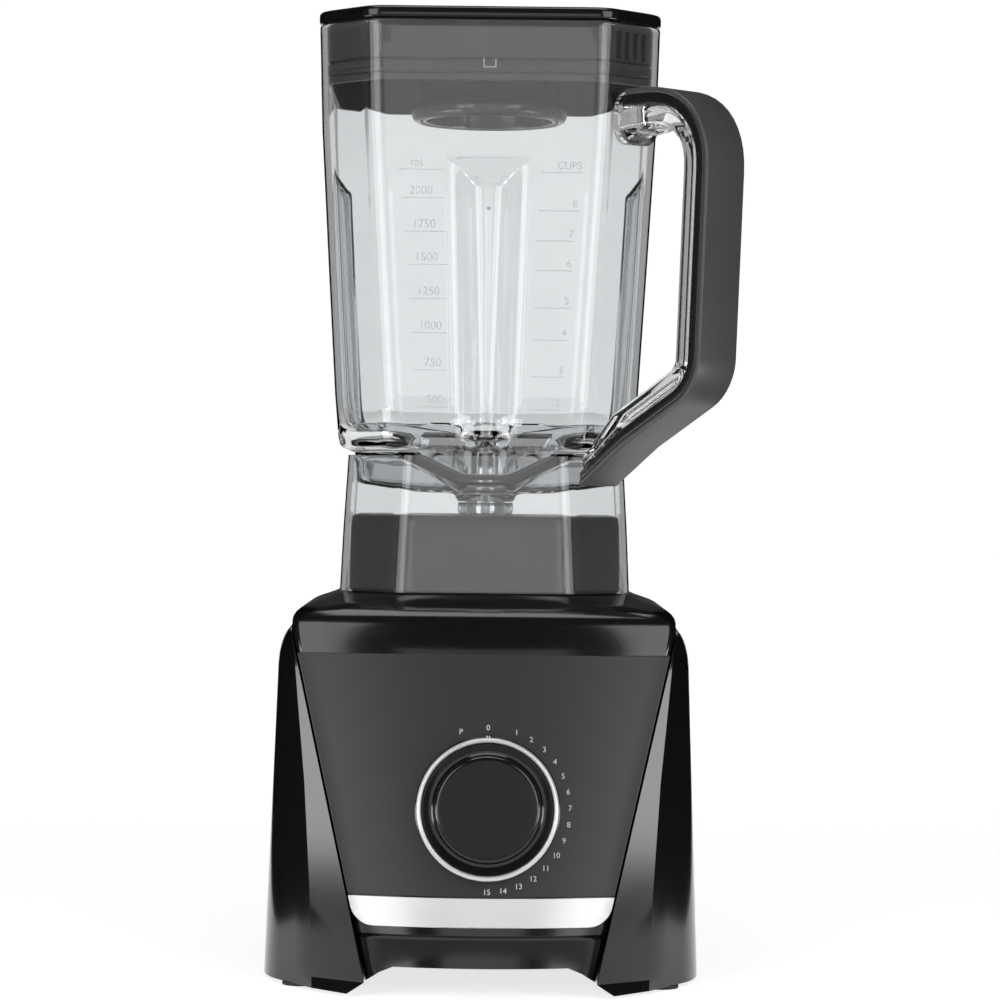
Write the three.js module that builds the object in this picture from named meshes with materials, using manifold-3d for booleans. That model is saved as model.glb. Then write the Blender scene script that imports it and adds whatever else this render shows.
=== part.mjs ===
// A countertop blender: a motor base with a speed knob, a clear square jar with a corner handle and a
// blade assembly, and a lid with a filler cap. Millimetres, +Z up, the front faces -Y. The origin is on
// the surface that the blender stands on; until the last lines the motor's axis is X = Y = 0.
import * as THREE from "three";
import { mergeVertices } from "three/addons/utils/BufferGeometryUtils.js";
import Module from "manifold-3d";

const wasm = await Module();
wasm.setup();

// ---- Driving dimensions -------------------------------------------------------------------------
const GAP = 0.35; // clearance between pieces that touch or seat
const WALL = 3; // moulded plastic wall of the base

// Base: half sizes at the floor and at the shoulder, which is where the front panel ends
const SHOULDER_Z = 150;
const SHELL_BOTTOM = 1.5; // the rubber feet hold the shells this far off the table
const SIDE_HALF = { floor: 98, shoulder: 91.5 }; // widest half width of the side shells
const SIDE_FRONT = { floor: 55, shoulder: 48 }; // where the side starts to turn to the front
const CREASE_X = { floor: 76, shoulder: 83.8 };
const CREASE_Y = { floor: 82, shoulder: 72 };
const PANEL_HALF = { floor: 50, shoulder: 83.2 }; // half width of the core, between the side shells
const PANEL_Y = { floor: 95, shoulder: 77 }; // front edge of the core at its corners
const PANEL_BOW = 8; // how far the front stands out at its middle
const SHELL_TOP = 162;
const SHOULDER_DROP = 13; // height of the rounded shoulder under the neck
const NECK = { half: 65.6, chamfer: 27, z: 174 };
const PANEL_THICK = 1.8;
const CORE_WALL = 4.4; // the core's wall, deep enough to seat the panel
const STRIP = { bottom: 31, top: 43.6, round: 9 };
const ARCH = { z: 13, top: 39, bottom: 58 }; // opening between the legs, front and back
const PEDESTAL = { half: 60.2, chamfer: 26, top: 208.4, well: 23 };

// Jar: outside half widths by height
const JAR_LEVELS = [
  [243, 66.4],
  [262, 68],
  [318, 71.2],
  [380, 74.6],
  [426, 75.9],
];
const JAR_CHAMFER = 23;
const JAR_WALL = 3;
// Floor funnel, both faces: height, half width, and 1 where the section is a circle
const FUNNEL = {
  top: 247,
  bottom: 219,
  upper: [
    [219, 11.5, 1],
    [225.5, 16.5, 0.95],
    [237, 34.5, 0.55],
    [240.2, 56, 0],
  ],
  lower: 214.5,
  under: [
    [214.5, 13, 1],
    [221.5, 17.5, 0.9],
    [234, 37, 0.5],
    [236.2, 58.5, 0],
    [238.6, 65, 0],
  ],
};
const COLLAR_LEVELS = [
  [174.4, 65.2],
  [203, 63.9],
  [235.6, 62],
];
const COLLAR_CHAMFER = 26;
const COLLAR_WALL = 2.5;
const RIB = { top: 366, full: 354, bottom: 244, depth: 8.5, wide: 32.5, narrow: 26, slope: 1.34 };
const HUB_BORE = 9; // hole through the jar's floor

// Handle: outside corners in its own plane (distance from the axis, height) and bend radii
const HANDLE_ANGLE = -Math.PI / 4;
const HANDLE_CORNERS = [
  [96.5, 396.5],
  [146.4, 396.5],
  [140.6, 264],
  [76.5, 227],
];
const HANDLE_BENDS = [38, 26];
const GRIP = { thick: 6.5, width: 25 };
const CORE = { thick: 10, width: 20 };

// Lid and filler cap
const LID = { flange: 427, top: 432.4, half: 76.2, skirt: 400, neck: 33.4, neckBottom: 388.5, wall: 2.2 };
const CAP = { flange: 39, top: 434.6, wall: 2 };

// Motor and drive, all on the Z axis
const SHAFT_R = 4;
const STATOR = { bottom: 62, top: 104, half: 40, bore: 24.5 };
const COUPLING = { lower: 184, split: 196.5, upper: 207.6, radius: 17 };

// Knob
const KNOB = { x: 2.3, z: 81.5, dial: 32, ring: 31, ringIn: 27, disc: 22.8, reach: 15, stem: 3 };

// ---- Mesh helpers -------------------------------------------------------------------------------
const lerp = (a, b, t) => a + (b - a) * t;
const atHeight = (range, z) => lerp(range.floor, range.shoulder, z / SHOULDER_Z);

// A closed three.js geometry as a manifold-3d solid.
function solid(geometry) {
  const bare = geometry.index ? geometry.toNonIndexed() : geometry.clone();
  bare.deleteAttribute("normal");
  bare.deleteAttribute("uv");
  const merged = mergeVertices(bare, 1e-3);
  return new wasm.Manifold(
    new wasm.Mesh({
      numProp: 3,
      vertProperties: merged.attributes.position.array,
      triVerts: new Uint32Array(merged.index.array),
    }),
  );
}

function geometryOf(body) {
  const mesh = body.getMesh();
  const geometry = new THREE.BufferGeometry();
  geometry.setAttribute("position", new THREE.BufferAttribute(mesh.vertProperties, 3));
  geometry.setIndex(new THREE.BufferAttribute(mesh.triVerts, 1));
  const flat = geometry.toNonIndexed();
  flat.computeVertexNormals();
  return flat;
}

// A solid through level rings of points, listed counterclockwise from above and from the bottom up.
function loft(rings) {
  const n = rings[0].length;
  const positions = rings.flat().flatMap((p) => [p.x, p.y, p.z]);
  const index = [];
  for (let k = 0; k + 1 < rings.length; k++)
    for (let i = 0; i < n; i++) {
      const a = k * n + i;
      const b = k * n + ((i + 1) % n);
      index.push(a, b, b + n, a, b + n, a + n);
    }
  const cap = (ring, offset, up) => {
    const outline = ring.map((p) => new THREE.Vector2(p.x, p.y));
    for (const [a, b, c] of THREE.ShapeUtils.triangulateShape(outline, []))
      index.push(...(up ? [a, b, c] : [c, b, a]).map((i) => i + offset));
  };
  cap(rings[0], 0, false);
  cap(rings[rings.length - 1], n * (rings.length - 1), true);
  const geometry = new THREE.BufferGeometry();
  geometry.setAttribute("position", new THREE.Float32BufferAttribute(positions, 3));
  geometry.setIndex(index);
  return solid(geometry);
}

// Ring of an eight-sided section with rounded corners. bow pushes the front and the back out.
function octagon(z, halfX, halfY, chamfer, { round = 4, steps = 3, bow = 0 } = {}) {
  const cx = halfX - chamfer;
  const cy = halfY - chamfer;
  const corners = [
    [halfX, cy], [cx, halfY], [-cx, halfY], [-halfX, cy],
    [-halfX, -cy], [-cx, -halfY], [cx, -halfY], [halfX, -cy],
  ].map(([x, y]) => new THREE.Vector2(x, y));
  const ring = [];
  corners.forEach((corner, i) => {
    const before = corners[(i + 7) % 8];
    const after = corners[(i + 1) % 8];
    const cut = Math.min(round, corner.distanceTo(before) / 2.2, corner.distanceTo(after) / 2.2);
    const from = corner.clone().add(before.clone().sub(corner).setLength(cut));
    const to = corner.clone().add(after.clone().sub(corner).setLength(cut));
    const bend = new THREE.QuadraticBezierCurve(from, corner, to);
    ring.push(...bend.getPoints(steps));
    if (i === 1 || i === 5)
      for (const t of [0.2, 0.4, 0.6, 0.8]) ring.push(to.clone().lerp(nextBend(corners, i, cut), t));
  });
  return ring.map(({ x, y }) => {
    const share = cx > 0 ? Math.max(0, 1 - (x / cx) ** 2) : 0;
    return new THREE.Vector3(x, y + Math.sign(y) * (Math.abs(y) > cy ? bow * share : 0), z);
  });
}

// The start of the rounding at the corner after corner i, where the straight front or back ends.
function nextBend(corners, i, cut) {
  const next = corners[(i + 1) % 8];
  return next.clone().add(corners[i].clone().sub(next).setLength(cut));
}

const circle = (z, r, steps = 32) =>
  Array.from({ length: steps }, (_, i) => {
    const a = (i / steps) * Math.PI * 2;
    return new THREE.Vector3(r * Math.cos(a), r * Math.sin(a), z);
  });

// A disc or a tube on the Z axis between two heights.
const disc = (z0, z1, r, steps = 32) => loft([circle(z0, r, steps), circle(z1, r, steps)]);
const tube = (z0, z1, r, bore, steps = 32) =>
  disc(z0, z1, r, steps).subtract(disc(z0 - 1, z1 + 1, bore, steps));

function block(x0, x1, y0, y1, z0, z1) {
  const box = new THREE.BoxGeometry(x1 - x0, y1 - y0, z1 - z0);
  return solid(box.translate((x0 + x1) / 2, (y0 + y1) / 2, (z0 + z1) / 2));
}

// An outline in X and Z, extruded along Y from y0 to y1.
function alongY(points, y0, y1) {
  const isShape = points instanceof THREE.Shape;
  const shape = isShape ? points : new THREE.Shape(points.map(([x, z]) => new THREE.Vector2(x, z)));
  const settings = { depth: y1 - y0, bevelEnabled: false, curveSegments: 6 };
  const geometry = new THREE.ExtrudeGeometry(shape, settings);
  return solid(geometry.rotateX(Math.PI / 2).translate(0, y1, 0));
}

const materials = {
  gloss_black: [0x101012, 0.2, 0],
  satin_panel: [0x2b2b2e, 0.45, 0],
  bright_trim: [0xd8d8dc, 0.15, 1],
  matte_black: [0x1b1b1d, 0.6, 0],
  rubber: [0x161616, 0.9, 0],
  clear: [0xdfe4e6, 0.05, 0],
  grip: [0x4a4a4d, 0.45, 0],
  steel: [0xb9bcc0, 0.25, 1],
  copper: [0xb06a3a, 0.4, 1],
  iron: [0x6c6f73, 0.5, 1],
  board: [0x1f5a35, 0.6, 0],
  seal: [0x4c4e52, 0.7, 0],
};

function piece(group, name, finish, body) {
  const [color, roughness, metalness] = materials[finish];
  const material = new THREE.MeshStandardMaterial({ color, roughness, metalness });
  const mesh = new THREE.Mesh(geometryOf(body), material);
  mesh.name = name;
  group.add(mesh);
  return mesh;
}

function mirrorX(body) {
  return body.mirror([1, 0, 0]);
}

// ---- Base ---------------------------------------------------------------------------------------
// Outer ring of the two legs together, inset by a wall.
function legRing(z, inset = 0, pull = 0) {
  const side = atHeight(SIDE_HALF, z) - inset - pull;
  const front = atHeight(SIDE_FRONT, z);
  const crease = new THREE.Vector2(atHeight(CREASE_X, z) - inset - pull * 0.6, atHeight(CREASE_Y, z) - inset);
  const edgeX = Math.min(atHeight(PANEL_HALF, z), crease.x - 0.5);
  const edge = new THREE.Vector2(edgeX, atHeight(PANEL_Y, z) - inset);
  const turn = new THREE.QuadraticBezierCurve(
    new THREE.Vector2(side, front - 22),
    new THREE.Vector2(side, front + 6),
    crease,
  );
  const quarter = [...turn.getPoints(5), edge];
  const place = (points, sx, sy) => points.map(({ x, y }) => new THREE.Vector3(sx * x, sy * y, z));
  return [
    ...place(quarter, 1, 1),
    ...place([...quarter].reverse(), -1, 1),
    ...place(quarter, -1, -1),
    ...place([...quarter].reverse(), 1, -1),
  ];
}

function legVolume(inset, bottom, top) {
  const levels = [bottom, 50, 100, 140];
  const rings = levels.map((z) => legRing(z, inset));
  const turnOver = top - 140;
  for (const t of [0.35, 0.65, 0.85, 1]) rings.push(legRing(140 + turnOver * t, inset, 6 * t ** 3));
  return loft(rings);
}

// The core between the legs, with its rounded shoulder and neck. clear widens it on all sides.
function coreVolume(inset, bottom, top, clear = 0) {
  const rings = [];
  for (const z of [bottom, 60, 105, SHOULDER_Z]) {
    const halfX = atHeight(PANEL_HALF, z) - inset - GAP + clear;
    const settings = { round: 1.2, steps: 2, bow: PANEL_BOW };
    rings.push(octagon(z, halfX, atHeight(PANEL_Y, z) - inset, 2.5, settings));
  }
  const start = { x: PANEL_HALF.shoulder - GAP + clear, y: PANEL_Y.shoulder, bow: PANEL_BOW };
  const rise = NECK.z - SHOULDER_Z - SHOULDER_DROP;
  for (const t of [0.2, 0.45, 0.7, 0.88, 0.97]) {
    const swell = 1 - Math.sqrt(1 - t * t);
    const z = SHOULDER_Z + rise * 0.45 + (SHOULDER_DROP + 1.5) * t;
    rings.push(
      octagon(
        z,
        lerp(start.x, NECK.half + 3, swell) - inset,
        lerp(start.y, NECK.half + 2, swell) - inset,
        lerp(2.5, NECK.chamfer, Math.min(1, swell * 1.3)),
        { round: lerp(1.2, 6, t), steps: 2, bow: lerp(start.bow, 0, swell) },
      ),
    );
  }
  rings.push(octagon(top, NECK.half - inset, NECK.half - inset, NECK.chamfer, { round: 6, steps: 2 }));
  return loft(rings);
}

const archOutline = (grow) => [
  [-ARCH.bottom - grow, -5],
  [ARCH.bottom + grow, -5],
  [ARCH.bottom + grow, SHELL_BOTTOM],
  [ARCH.top + grow, ARCH.z + grow],
  [-ARCH.top - grow, ARCH.z + grow],
  [-ARCH.bottom - grow, SHELL_BOTTOM],
];

// The core's half width at a height, as an outline that is extruded along Y.
const coreOutline = (grow, top) => {
  const half = (z) => atHeight(PANEL_HALF, z) + grow;
  return [
    [-half(-5), -5],
    [half(-5), -5],
    [half(SHOULDER_Z), SHOULDER_Z],
    [half(SHOULDER_Z), top],
    [-half(SHOULDER_Z), top],
    [-half(SHOULDER_Z), SHOULDER_Z],
  ];
};

// Outline of the front panel and of the bright strip under it, between two heights.
function faceOutline(z0, z1, margin, round) {
  const half = (z) => atHeight(PANEL_HALF, z) - margin;
  const shape = new THREE.Shape();
  shape.moveTo(-half(z0) + round, z0);
  shape.lineTo(half(z0) - round, z0);
  if (round) shape.quadraticCurveTo(half(z0), z0, half(z0 + round), z0 + round);
  shape.lineTo(half(z1), z1);
  shape.lineTo(-half(z1), z1);
  if (round) {
    shape.lineTo(-half(z0 + round), z0 + round);
    shape.quadraticCurveTo(-half(z0), z0, -half(z0) + round, z0);
  }
  return shape;
}

const base = new THREE.Group();
const arch = alongY(archOutline(0), -200, 200);
const legs = legVolume(0, SHELL_BOTTOM, SHELL_TOP);
const legsInside = legVolume(WALL, SHELL_BOTTOM + WALL, SHELL_TOP - WALL);
const betweenLegs = alongY(coreOutline(0, 300), -200, 200);
const shellPair = legs.subtract(legsInside).subtract(betweenLegs).subtract(arch);
piece(base, "right_side_shell", "gloss_black", shellPair.intersect(block(0, 200, -200, 200, -5, 300)));
piece(base, "left_side_shell", "gloss_black", shellPair.intersect(block(-200, 0, -200, 200, -5, 300)));

const core = coreVolume(0, SHELL_BOTTOM, NECK.z);
const coreInside = coreVolume(CORE_WALL, -5, NECK.z + 5);
const plateZ = ARCH.z + GAP;
const SCREW = { x: 42, y: 70, shank: 1.8, head: 3.6, headHeight: 1.8, boss: 4.5, bossTop: 30, side: 16 };
const screwSpots = [
  ["front_left", -1, -1],
  ["front_right", 1, -1],
  ["rear_left", -1, 1],
  ["rear_right", 1, 1],
];
const toSpot = (body, sx, sy) => body.translate([sx * SCREW.x, sy * SCREW.y, 0]);
const bossZ = plateZ + WALL + GAP;
const bosses = screwSpots.map(([, sx, sy]) => {
  const web = block(Math.min(0, sx * 10), Math.max(0, sx * 10), -1.5, 1.5, bossZ, SCREW.bossTop);
  return toSpot(disc(bossZ, SCREW.bossTop, SCREW.boss, 20).add(web), sx, sy);
});
const screwBore = disc(0, SCREW.bossTop - 3, SCREW.shank + GAP, SCREW.side);
const panelSeat = alongY(
  faceOutline(STRIP.bottom - GAP, SHOULDER_Z - 2 + GAP, 2.4, STRIP.round),
  -200,
  0,
).subtract(core.translate([0, PANEL_THICK + GAP, 0]));
const knobSlope = Math.atan((PANEL_Y.floor - PANEL_Y.shoulder) / SHOULDER_Z);
const panelFaceY = (z) => -(atHeight(PANEL_Y, z) + PANEL_BOW);
// Puts a solid made on the Z axis onto the knob's axis, with its z = 0 at the panel's face.
const knobPlace = [KNOB.x, panelFaceY(KNOB.z), KNOB.z];
const toKnob = (body) =>
  body.rotate([90 - THREE.MathUtils.radToDeg(knobSlope), 0, 0]).translate(knobPlace);
const stemHole = toKnob(disc(-40, 20, 6, 24));
const inletZ = 40;
const inletHole = solid(new THREE.CylinderGeometry(7.4, 7.4, 60, 24).translate(0, 90, inletZ));
const ventPocket = block(-34, 34, 60, 120, 62, 112);
const coreShell = bosses.reduce((all, boss) => all.add(boss), core.subtract(coreInside));
const housing = screwSpots
  .reduce((left, [, sx, sy]) => left.subtract(toSpot(screwBore, sx, sy)), coreShell)
  .subtract(arch)
  .subtract(panelSeat)
  .subtract(stemHole)
  .subtract(inletHole)
  .subtract(ventPocket);
piece(base, "base_housing", "gloss_black", housing);

const facePlate = core.subtract(core.translate([0, PANEL_THICK, 0]));
const panelOutline = faceOutline(STRIP.top + GAP, SHOULDER_Z - 2, 2.4 + GAP, 0);
const panel = alongY(panelOutline, -200, 0).intersect(facePlate);
piece(base, "front_panel", "satin_panel", panel.subtract(stemHole));
const stripOutline = faceOutline(STRIP.bottom, STRIP.top, 2.4 + GAP, STRIP.round);
piece(base, "trim_strip", "bright_trim", alongY(stripOutline, -200, 0).intersect(facePlate));

// Rear grille: slats in a frame, in the pocket of the housing's back wall.
const grillePlate = block(-34 + GAP, 34 - GAP, 60, 120, 62 + GAP, 112 - GAP)
  .intersect(core)
  .subtract(core.translate([0, -WALL, 0]));
const slots = Array.from({ length: 6 }, (_, i) => block(-29, 29, 50, 130, 67 + i * 7, 70.4 + i * 7));
piece(base, "rear_grille", "matte_black", slots.reduce((left, slot) => left.subtract(slot), grillePlate));

const inletY = atHeight(PANEL_Y, inletZ) + PANEL_BOW;
const onBack = (r0, r1, length, y) =>
  solid(new THREE.CylinderGeometry(r1, r0, length, 24).translate(0, inletY + y, inletZ));
const gland = onBack(7, 7, 9, -2).add(onBack(9.5, 8.6, 3, 3.3)).add(onBack(6.2, 5.4, 6, 5.6));
piece(base, "power_inlet_gland", "rubber", gland);

// Pedestal: the raised deck that the jar's collar drops over, with a well for the couplings.
const pedestalRings = [
  [NECK.z + GAP, 0],
  [PEDESTAL.top - 2, 0],
  [PEDESTAL.top, 2],
].map(([z, in_]) =>
  octagon(z, PEDESTAL.half - in_, PEDESTAL.half - in_, PEDESTAL.chamfer, { round: 6, steps: 2 }),
);
const deckInner = PEDESTAL.half - WALL;
const pedestalInside = octagon(0, deckInner, deckInner, PEDESTAL.chamfer, { round: 6, steps: 2 });
const lift = (ring, z) => ring.map((p) => new THREE.Vector3(p.x, p.y, z));
const deckHollow = loft([lift(pedestalInside, NECK.z - 5), lift(pedestalInside, PEDESTAL.top - WALL)]);
const wellWall = disc(180.5, PEDESTAL.top - 1, PEDESTAL.well + 2.5);
const deck = loft(pedestalRings)
  .subtract(deckHollow)
  .add(wellWall)
  .subtract(disc(183, PEDESTAL.top + 5, PEDESTAL.well))
  .subtract(disc(150, 190, 6.5, 24));
piece(base, "coupling_deck", "matte_black", deck);

const plateSlab = block(-200, 200, -200, 200, plateZ, plateZ + WALL);
const plate = coreVolume(CORE_WALL + GAP, -5, NECK.z).intersect(plateSlab);
const plateVents = Array.from({ length: 7 }, (_, i) => block(-30, 30, -26 + i * 8, -22 + i * 8, 0, 30));
const plateCuts = [...plateVents, ...screwSpots.map(([, sx, sy]) => toSpot(screwBore, sx, sy))];
piece(base, "bottom_plate", "matte_black", plateCuts.reduce((left, cut) => left.subtract(cut), plate));
for (const [spot, sx, sy] of screwSpots) {
  const screw = disc(plateZ - GAP - SCREW.headHeight, plateZ - GAP, SCREW.head, SCREW.side).add(
    disc(plateZ - GAP - 0.5, SCREW.bossTop - 4, SCREW.shank, SCREW.side),
  );
  piece(base, `case_screw_${spot}`, "steel", toSpot(screw, sx, sy));
}

const FOOT = { x: 80, y: 58, radius: 8, height: SHELL_BOTTOM - 0.05 };
for (const [side, x] of [["left", -FOOT.x], ["right", FOOT.x]])
  for (const [end, y] of [["front", -FOOT.y], ["rear", FOOT.y]]) {
    const foot = piece(base, `foot_${end}_${side}`, "rubber", disc(0, FOOT.height, FOOT.radius, 24));
    foot.position.set(x, y, 0);
  }

// ---- Motor, fixed parts -------------------------------------------------------------------------
const stator = loft([
  octagon(STATOR.bottom, STATOR.half, STATOR.half, 12, { round: 3, steps: 2 }),
  octagon(STATOR.top, STATOR.half, STATOR.half, 12, { round: 3, steps: 2 }),
]).subtract(disc(0, 200, STATOR.bore));
piece(base, "stator_core", "iron", stator);
const COIL = { half: 30, inner: 25.5, height: 11 };
const coil = tube(STATOR.top + GAP, STATOR.top + GAP + COIL.height, COIL.half + 3, COIL.inner).intersect(
  block(2, 60, -60, 60, 0, 300),
);
piece(base, "field_coil_right", "copper", coil);
piece(base, "field_coil_left", "copper", mirrorX(coil));

const BRACKET = { lowerZ: 40, upperZ: 124, thick: 4, bearing: 11, bearingHeight: 7 };
function bracket(z, towards) {
  const arms = block(-46, 46, -9, 9, z, z + BRACKET.thick);
  const z0 = Math.min(z, z + towards * 9);
  const cup = disc(z0, z0 + 9 + BRACKET.thick, BRACKET.bearing + 3);
  return arms.add(cup).subtract(disc(z0 - 1, z0 + 30, BRACKET.bearing + GAP));
}
piece(base, "motor_bracket_upper", "iron", bracket(BRACKET.upperZ, 1));
piece(base, "motor_bracket_lower", "iron", bracket(BRACKET.lowerZ, -1));
for (const [name, z] of [["upper", BRACKET.upperZ + 2], ["lower", BRACKET.lowerZ - 4]]) {
  const ring = tube(z, z + BRACKET.bearingHeight, BRACKET.bearing, SHAFT_R + 0.3);
  piece(base, `motor_bearing_${name}`, "steel", ring);
}
const BRUSH = { z: 50, inner: 13.4, outer: 29.5 };
const brush = block(BRUSH.inner, BRUSH.outer, -4, 4, BRUSH.z, BRUSH.z + 8);
piece(base, "carbon_brush_right", "matte_black", brush);
piece(base, "carbon_brush_left", "matte_black", mirrorX(brush));
for (const [side, x] of [["left", -40.5], ["right", 40.5]]) {
  const post = piece(
    base,
    `motor_post_${side}`,
    "steel",
    disc(BRACKET.lowerZ + BRACKET.thick + GAP, STATOR.bottom - GAP, 4, 20),
  );
  post.position.x = x > 0 ? x - 6 : x + 6;
}

// ---- Controls -----------------------------------------------------------------------------------
const boardBack = toKnob(block(-30, 30, -26, 26, -20, -18.4).subtract(disc(-30, 0, 4.5, 20)));
piece(base, "control_board", "board", boardBack);
const switchBody = block(-9, 9, -9, 9, -18.1, -9).subtract(disc(-30, 0, KNOB.stem + GAP, 20));
piece(base, "speed_switch", "matte_black", toKnob(switchBody));

const knob = new THREE.Group();
piece(knob, "knob_stem", "matte_black", toKnob(disc(-16, 4.4, KNOB.stem, 20)));
const dial = disc(0.8, 4, KNOB.dial, 48).subtract(disc(-1, 6, KNOB.stem + GAP, 20));
piece(knob, "knob_dial", "matte_black", toKnob(dial));
const ringProfile = [
  [KNOB.ringIn, 4.3],
  [KNOB.ring, 4.3],
  [KNOB.ring - 0.8, 10],
  [KNOB.ringIn + 1.2, 12],
  [KNOB.ringIn, 11],
  [KNOB.ringIn, 4.3],
].map(([r, z]) => new THREE.Vector2(r, z));
const knobRing = solid(new THREE.LatheGeometry(ringProfile, 48).rotateX(Math.PI / 2));
piece(knob, "knob_ring", "bright_trim", toKnob(knobRing));
const knobCapProfile = [
  [0, 4.8],
  [KNOB.ringIn - GAP, 4.8],
  [KNOB.ringIn - GAP, 8],
  [KNOB.disc, 9],
  [KNOB.disc - 0.8, KNOB.reach],
  [0, KNOB.reach],
].map(([r, z]) => new THREE.Vector2(r, z));
const knobCap = solid(new THREE.LatheGeometry(knobCapProfile, 48).rotateX(Math.PI / 2));
piece(knob, "knob_cap", "satin_panel", toKnob(knobCap));

// ---- Rotor --------------------------------------------------------------------------------------
const rotor = new THREE.Group();
piece(rotor, "motor_shaft", "steel", disc(33, COUPLING.lower + 6, SHAFT_R, 20));
piece(rotor, "armature", "copper", tube(STATOR.bottom + 1, STATOR.top + 3, 23.4, SHAFT_R + GAP, 28));
piece(rotor, "commutator", "copper", tube(46, 60, 13, SHAFT_R + GAP, 24));
const FAN = { z: 20, height: 11, radius: 34, hub: 9, blades: 9 };
let fan = disc(FAN.z, FAN.z + FAN.height, FAN.hub, 24).add(disc(FAN.z, FAN.z + 2, FAN.radius, 36));
for (let i = 0; i < FAN.blades; i++) {
  const blade = block(FAN.hub - 1, FAN.radius - 1, -0.8, 0.8, FAN.z + 1, FAN.z + FAN.height);
  fan = fan.add(blade.rotate([0, 0, (360 / FAN.blades) * i]));
}
piece(rotor, "cooling_fan", "matte_black", fan.subtract(disc(FAN.z + 2, FAN.z + 20, SHAFT_R + GAP, 20)));

// A dog clutch: a disc with a ring of square teeth that stand up from one face.
const TEETH = 6;
function clutch(z0, z1, toothZ0, toothZ1, phase) {
  let body = disc(z0, z1, COUPLING.radius, 36);
  for (let i = 0; i < TEETH; i++) {
    const tooth = block(10.8, COUPLING.radius - 1.5, -2.1, 2.1, toothZ0, toothZ1);
    body = body.add(tooth.rotate([0, 0, phase + (360 / TEETH) * i]));
  }
  return body;
}
const dogs = 4;
const dogRoot = COUPLING.split - dogs;
const lowerClutch = clutch(COUPLING.lower + 2, dogRoot, dogRoot - 1, COUPLING.split, 0);
const shaftSocket = disc(150, COUPLING.lower + 6 + GAP, SHAFT_R + GAP, 20);
piece(rotor, "drive_coupling", "rubber", lowerClutch.subtract(shaftSocket));

// ---- Jar ----------------------------------------------------------------------------------------
const jar = new THREE.Group();
const CORNER = { round: 7, steps: 3 };
const jarSection = (z, half) => octagon(z, half, half, JAR_CHAMFER, CORNER);
const jarOuter = loft([
  ...FUNNEL.under.map(([z, half, roundness]) => circleToOctagon(z, half, roundness)),
  ...JAR_LEVELS.map(([z, half]) => jarSection(z, half)),
]);
// A section that has as many points as the jar's and is a circle at share 1.
function circleToOctagon(z, half, share) {
  return jarSectionAt(z, half).map((p) => {
    const angle = Math.atan2(p.y, p.x);
    return new THREE.Vector3(
      lerp(p.x, half * Math.cos(angle), share),
      lerp(p.y, half * Math.sin(angle), share),
      z,
    );
  });
}
function jarSectionAt(z, half) {
  const settings = { round: Math.min(7, half * 0.2), steps: 3 };
  return octagon(z, half, half, Math.min(JAR_CHAMFER, half * 0.58), settings);
}
const jarHalf = (z) => {
  const i = Math.max(1, JAR_LEVELS.findIndex(([level]) => level >= z));
  const [z0, h0] = JAR_LEVELS[i - 1];
  const [z1, h1] = JAR_LEVELS[i];
  return lerp(h0, h1, (z - z0) / (z1 - z0));
};
const innerRing = (z) => octagon(z, jarHalf(z) - JAR_WALL, jarHalf(z) - JAR_WALL, JAR_CHAMFER - 1.2, CORNER);
const jarInner = loft([
  ...FUNNEL.upper.map(([z, half, roundness]) => circleToOctagon(z, half, roundness)),
  innerRing(FUNNEL.top),
  ...JAR_LEVELS.slice(1, -1).map(([z]) => innerRing(z)),
  innerRing(426).map((p) => new THREE.Vector3(p.x, p.y, 430)),
]);
// A flute: a tapered trough pressed into a wall, deep from the wall's outside and wider by 2 * spread.
function flute(deep, spread, over) {
  const ring = (z, width, depth) => {
    const wall = jarHalf(z) + 2;
    const floor = jarHalf(z) - depth;
    const half = width / 2 + spread;
    const ridge = half - depth * RIB.slope;
    return [
      [-ridge, floor],
      [ridge, floor],
      [half + 2 * RIB.slope, wall],
      [-half - 2 * RIB.slope, wall],
    ].map(([a, b]) => new THREE.Vector3(a, b, z));
  };
  return loft([
    ring(RIB.bottom - 2 * over, RIB.narrow, deep),
    ring(RIB.full, RIB.wide, deep),
    ring(RIB.top + over, RIB.wide, 0.2),
  ]);
}
const around = (body) => [0, 90, 180, 270].map((angle) => body.rotate([0, 0, angle]));
const grooves = around(flute(RIB.depth, 0, 0));
const ribs = around(flute(RIB.depth + JAR_WALL, JAR_WALL * 1.7, JAR_WALL));
const jarHollow = ribs.reduce((hollow, rib) => hollow.subtract(rib), jarInner);
const jarSolid = grooves.reduce((left, groove) => left.subtract(groove), jarOuter);
piece(jar, "jar_body", "clear", jarSolid.subtract(jarHollow).subtract(disc(200, 240, HUB_BORE, 28)));

const collarRing = (z, half, in_) => octagon(z, half - in_, half - in_, COLLAR_CHAMFER - in_ * 0.4, CORNER);
const collarOuter = loft(COLLAR_LEVELS.map(([z, half]) => collarRing(z, half, 0)));
const collarInner = loft(
  COLLAR_LEVELS.map(([z, half], i) => collarRing(i === 2 ? z + 1 : i === 0 ? z - 1 : z, half, COLLAR_WALL)),
);
piece(jar, "jar_collar", "clear", collarOuter.subtract(collarInner));

const HUB = { flange: 11, body: HUB_BORE - GAP, bottom: 208.6, nut: 12.8 };
const carrierTop = FUNNEL.bottom + 1 + GAP * 2;
const carrier = disc(carrierTop, carrierTop + 2, HUB.flange, 28)
  .add(disc(HUB.bottom, carrierTop + 0.5, HUB.body, 28))
  .subtract(disc(200, 230, SHAFT_R + GAP, 20));
piece(jar, "bearing_carrier", "steel", carrier);
const gasketZ = FUNNEL.bottom + GAP;
piece(jar, "hub_gasket", "seal", tube(gasketZ, gasketZ + 1, HUB.flange, HUB.body + GAP, 28));
const nutTop = FUNNEL.lower - GAP;
const nut = disc(HUB.bottom, nutTop, HUB.nut, 12).subtract(disc(200, 230, HUB.body + GAP, 28));
piece(jar, "hub_nut", "clear", nut);

// ---- Handle: a clear core on the jar's corner, with a dark grip around its outside --------------
const handle = new THREE.Group();
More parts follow.
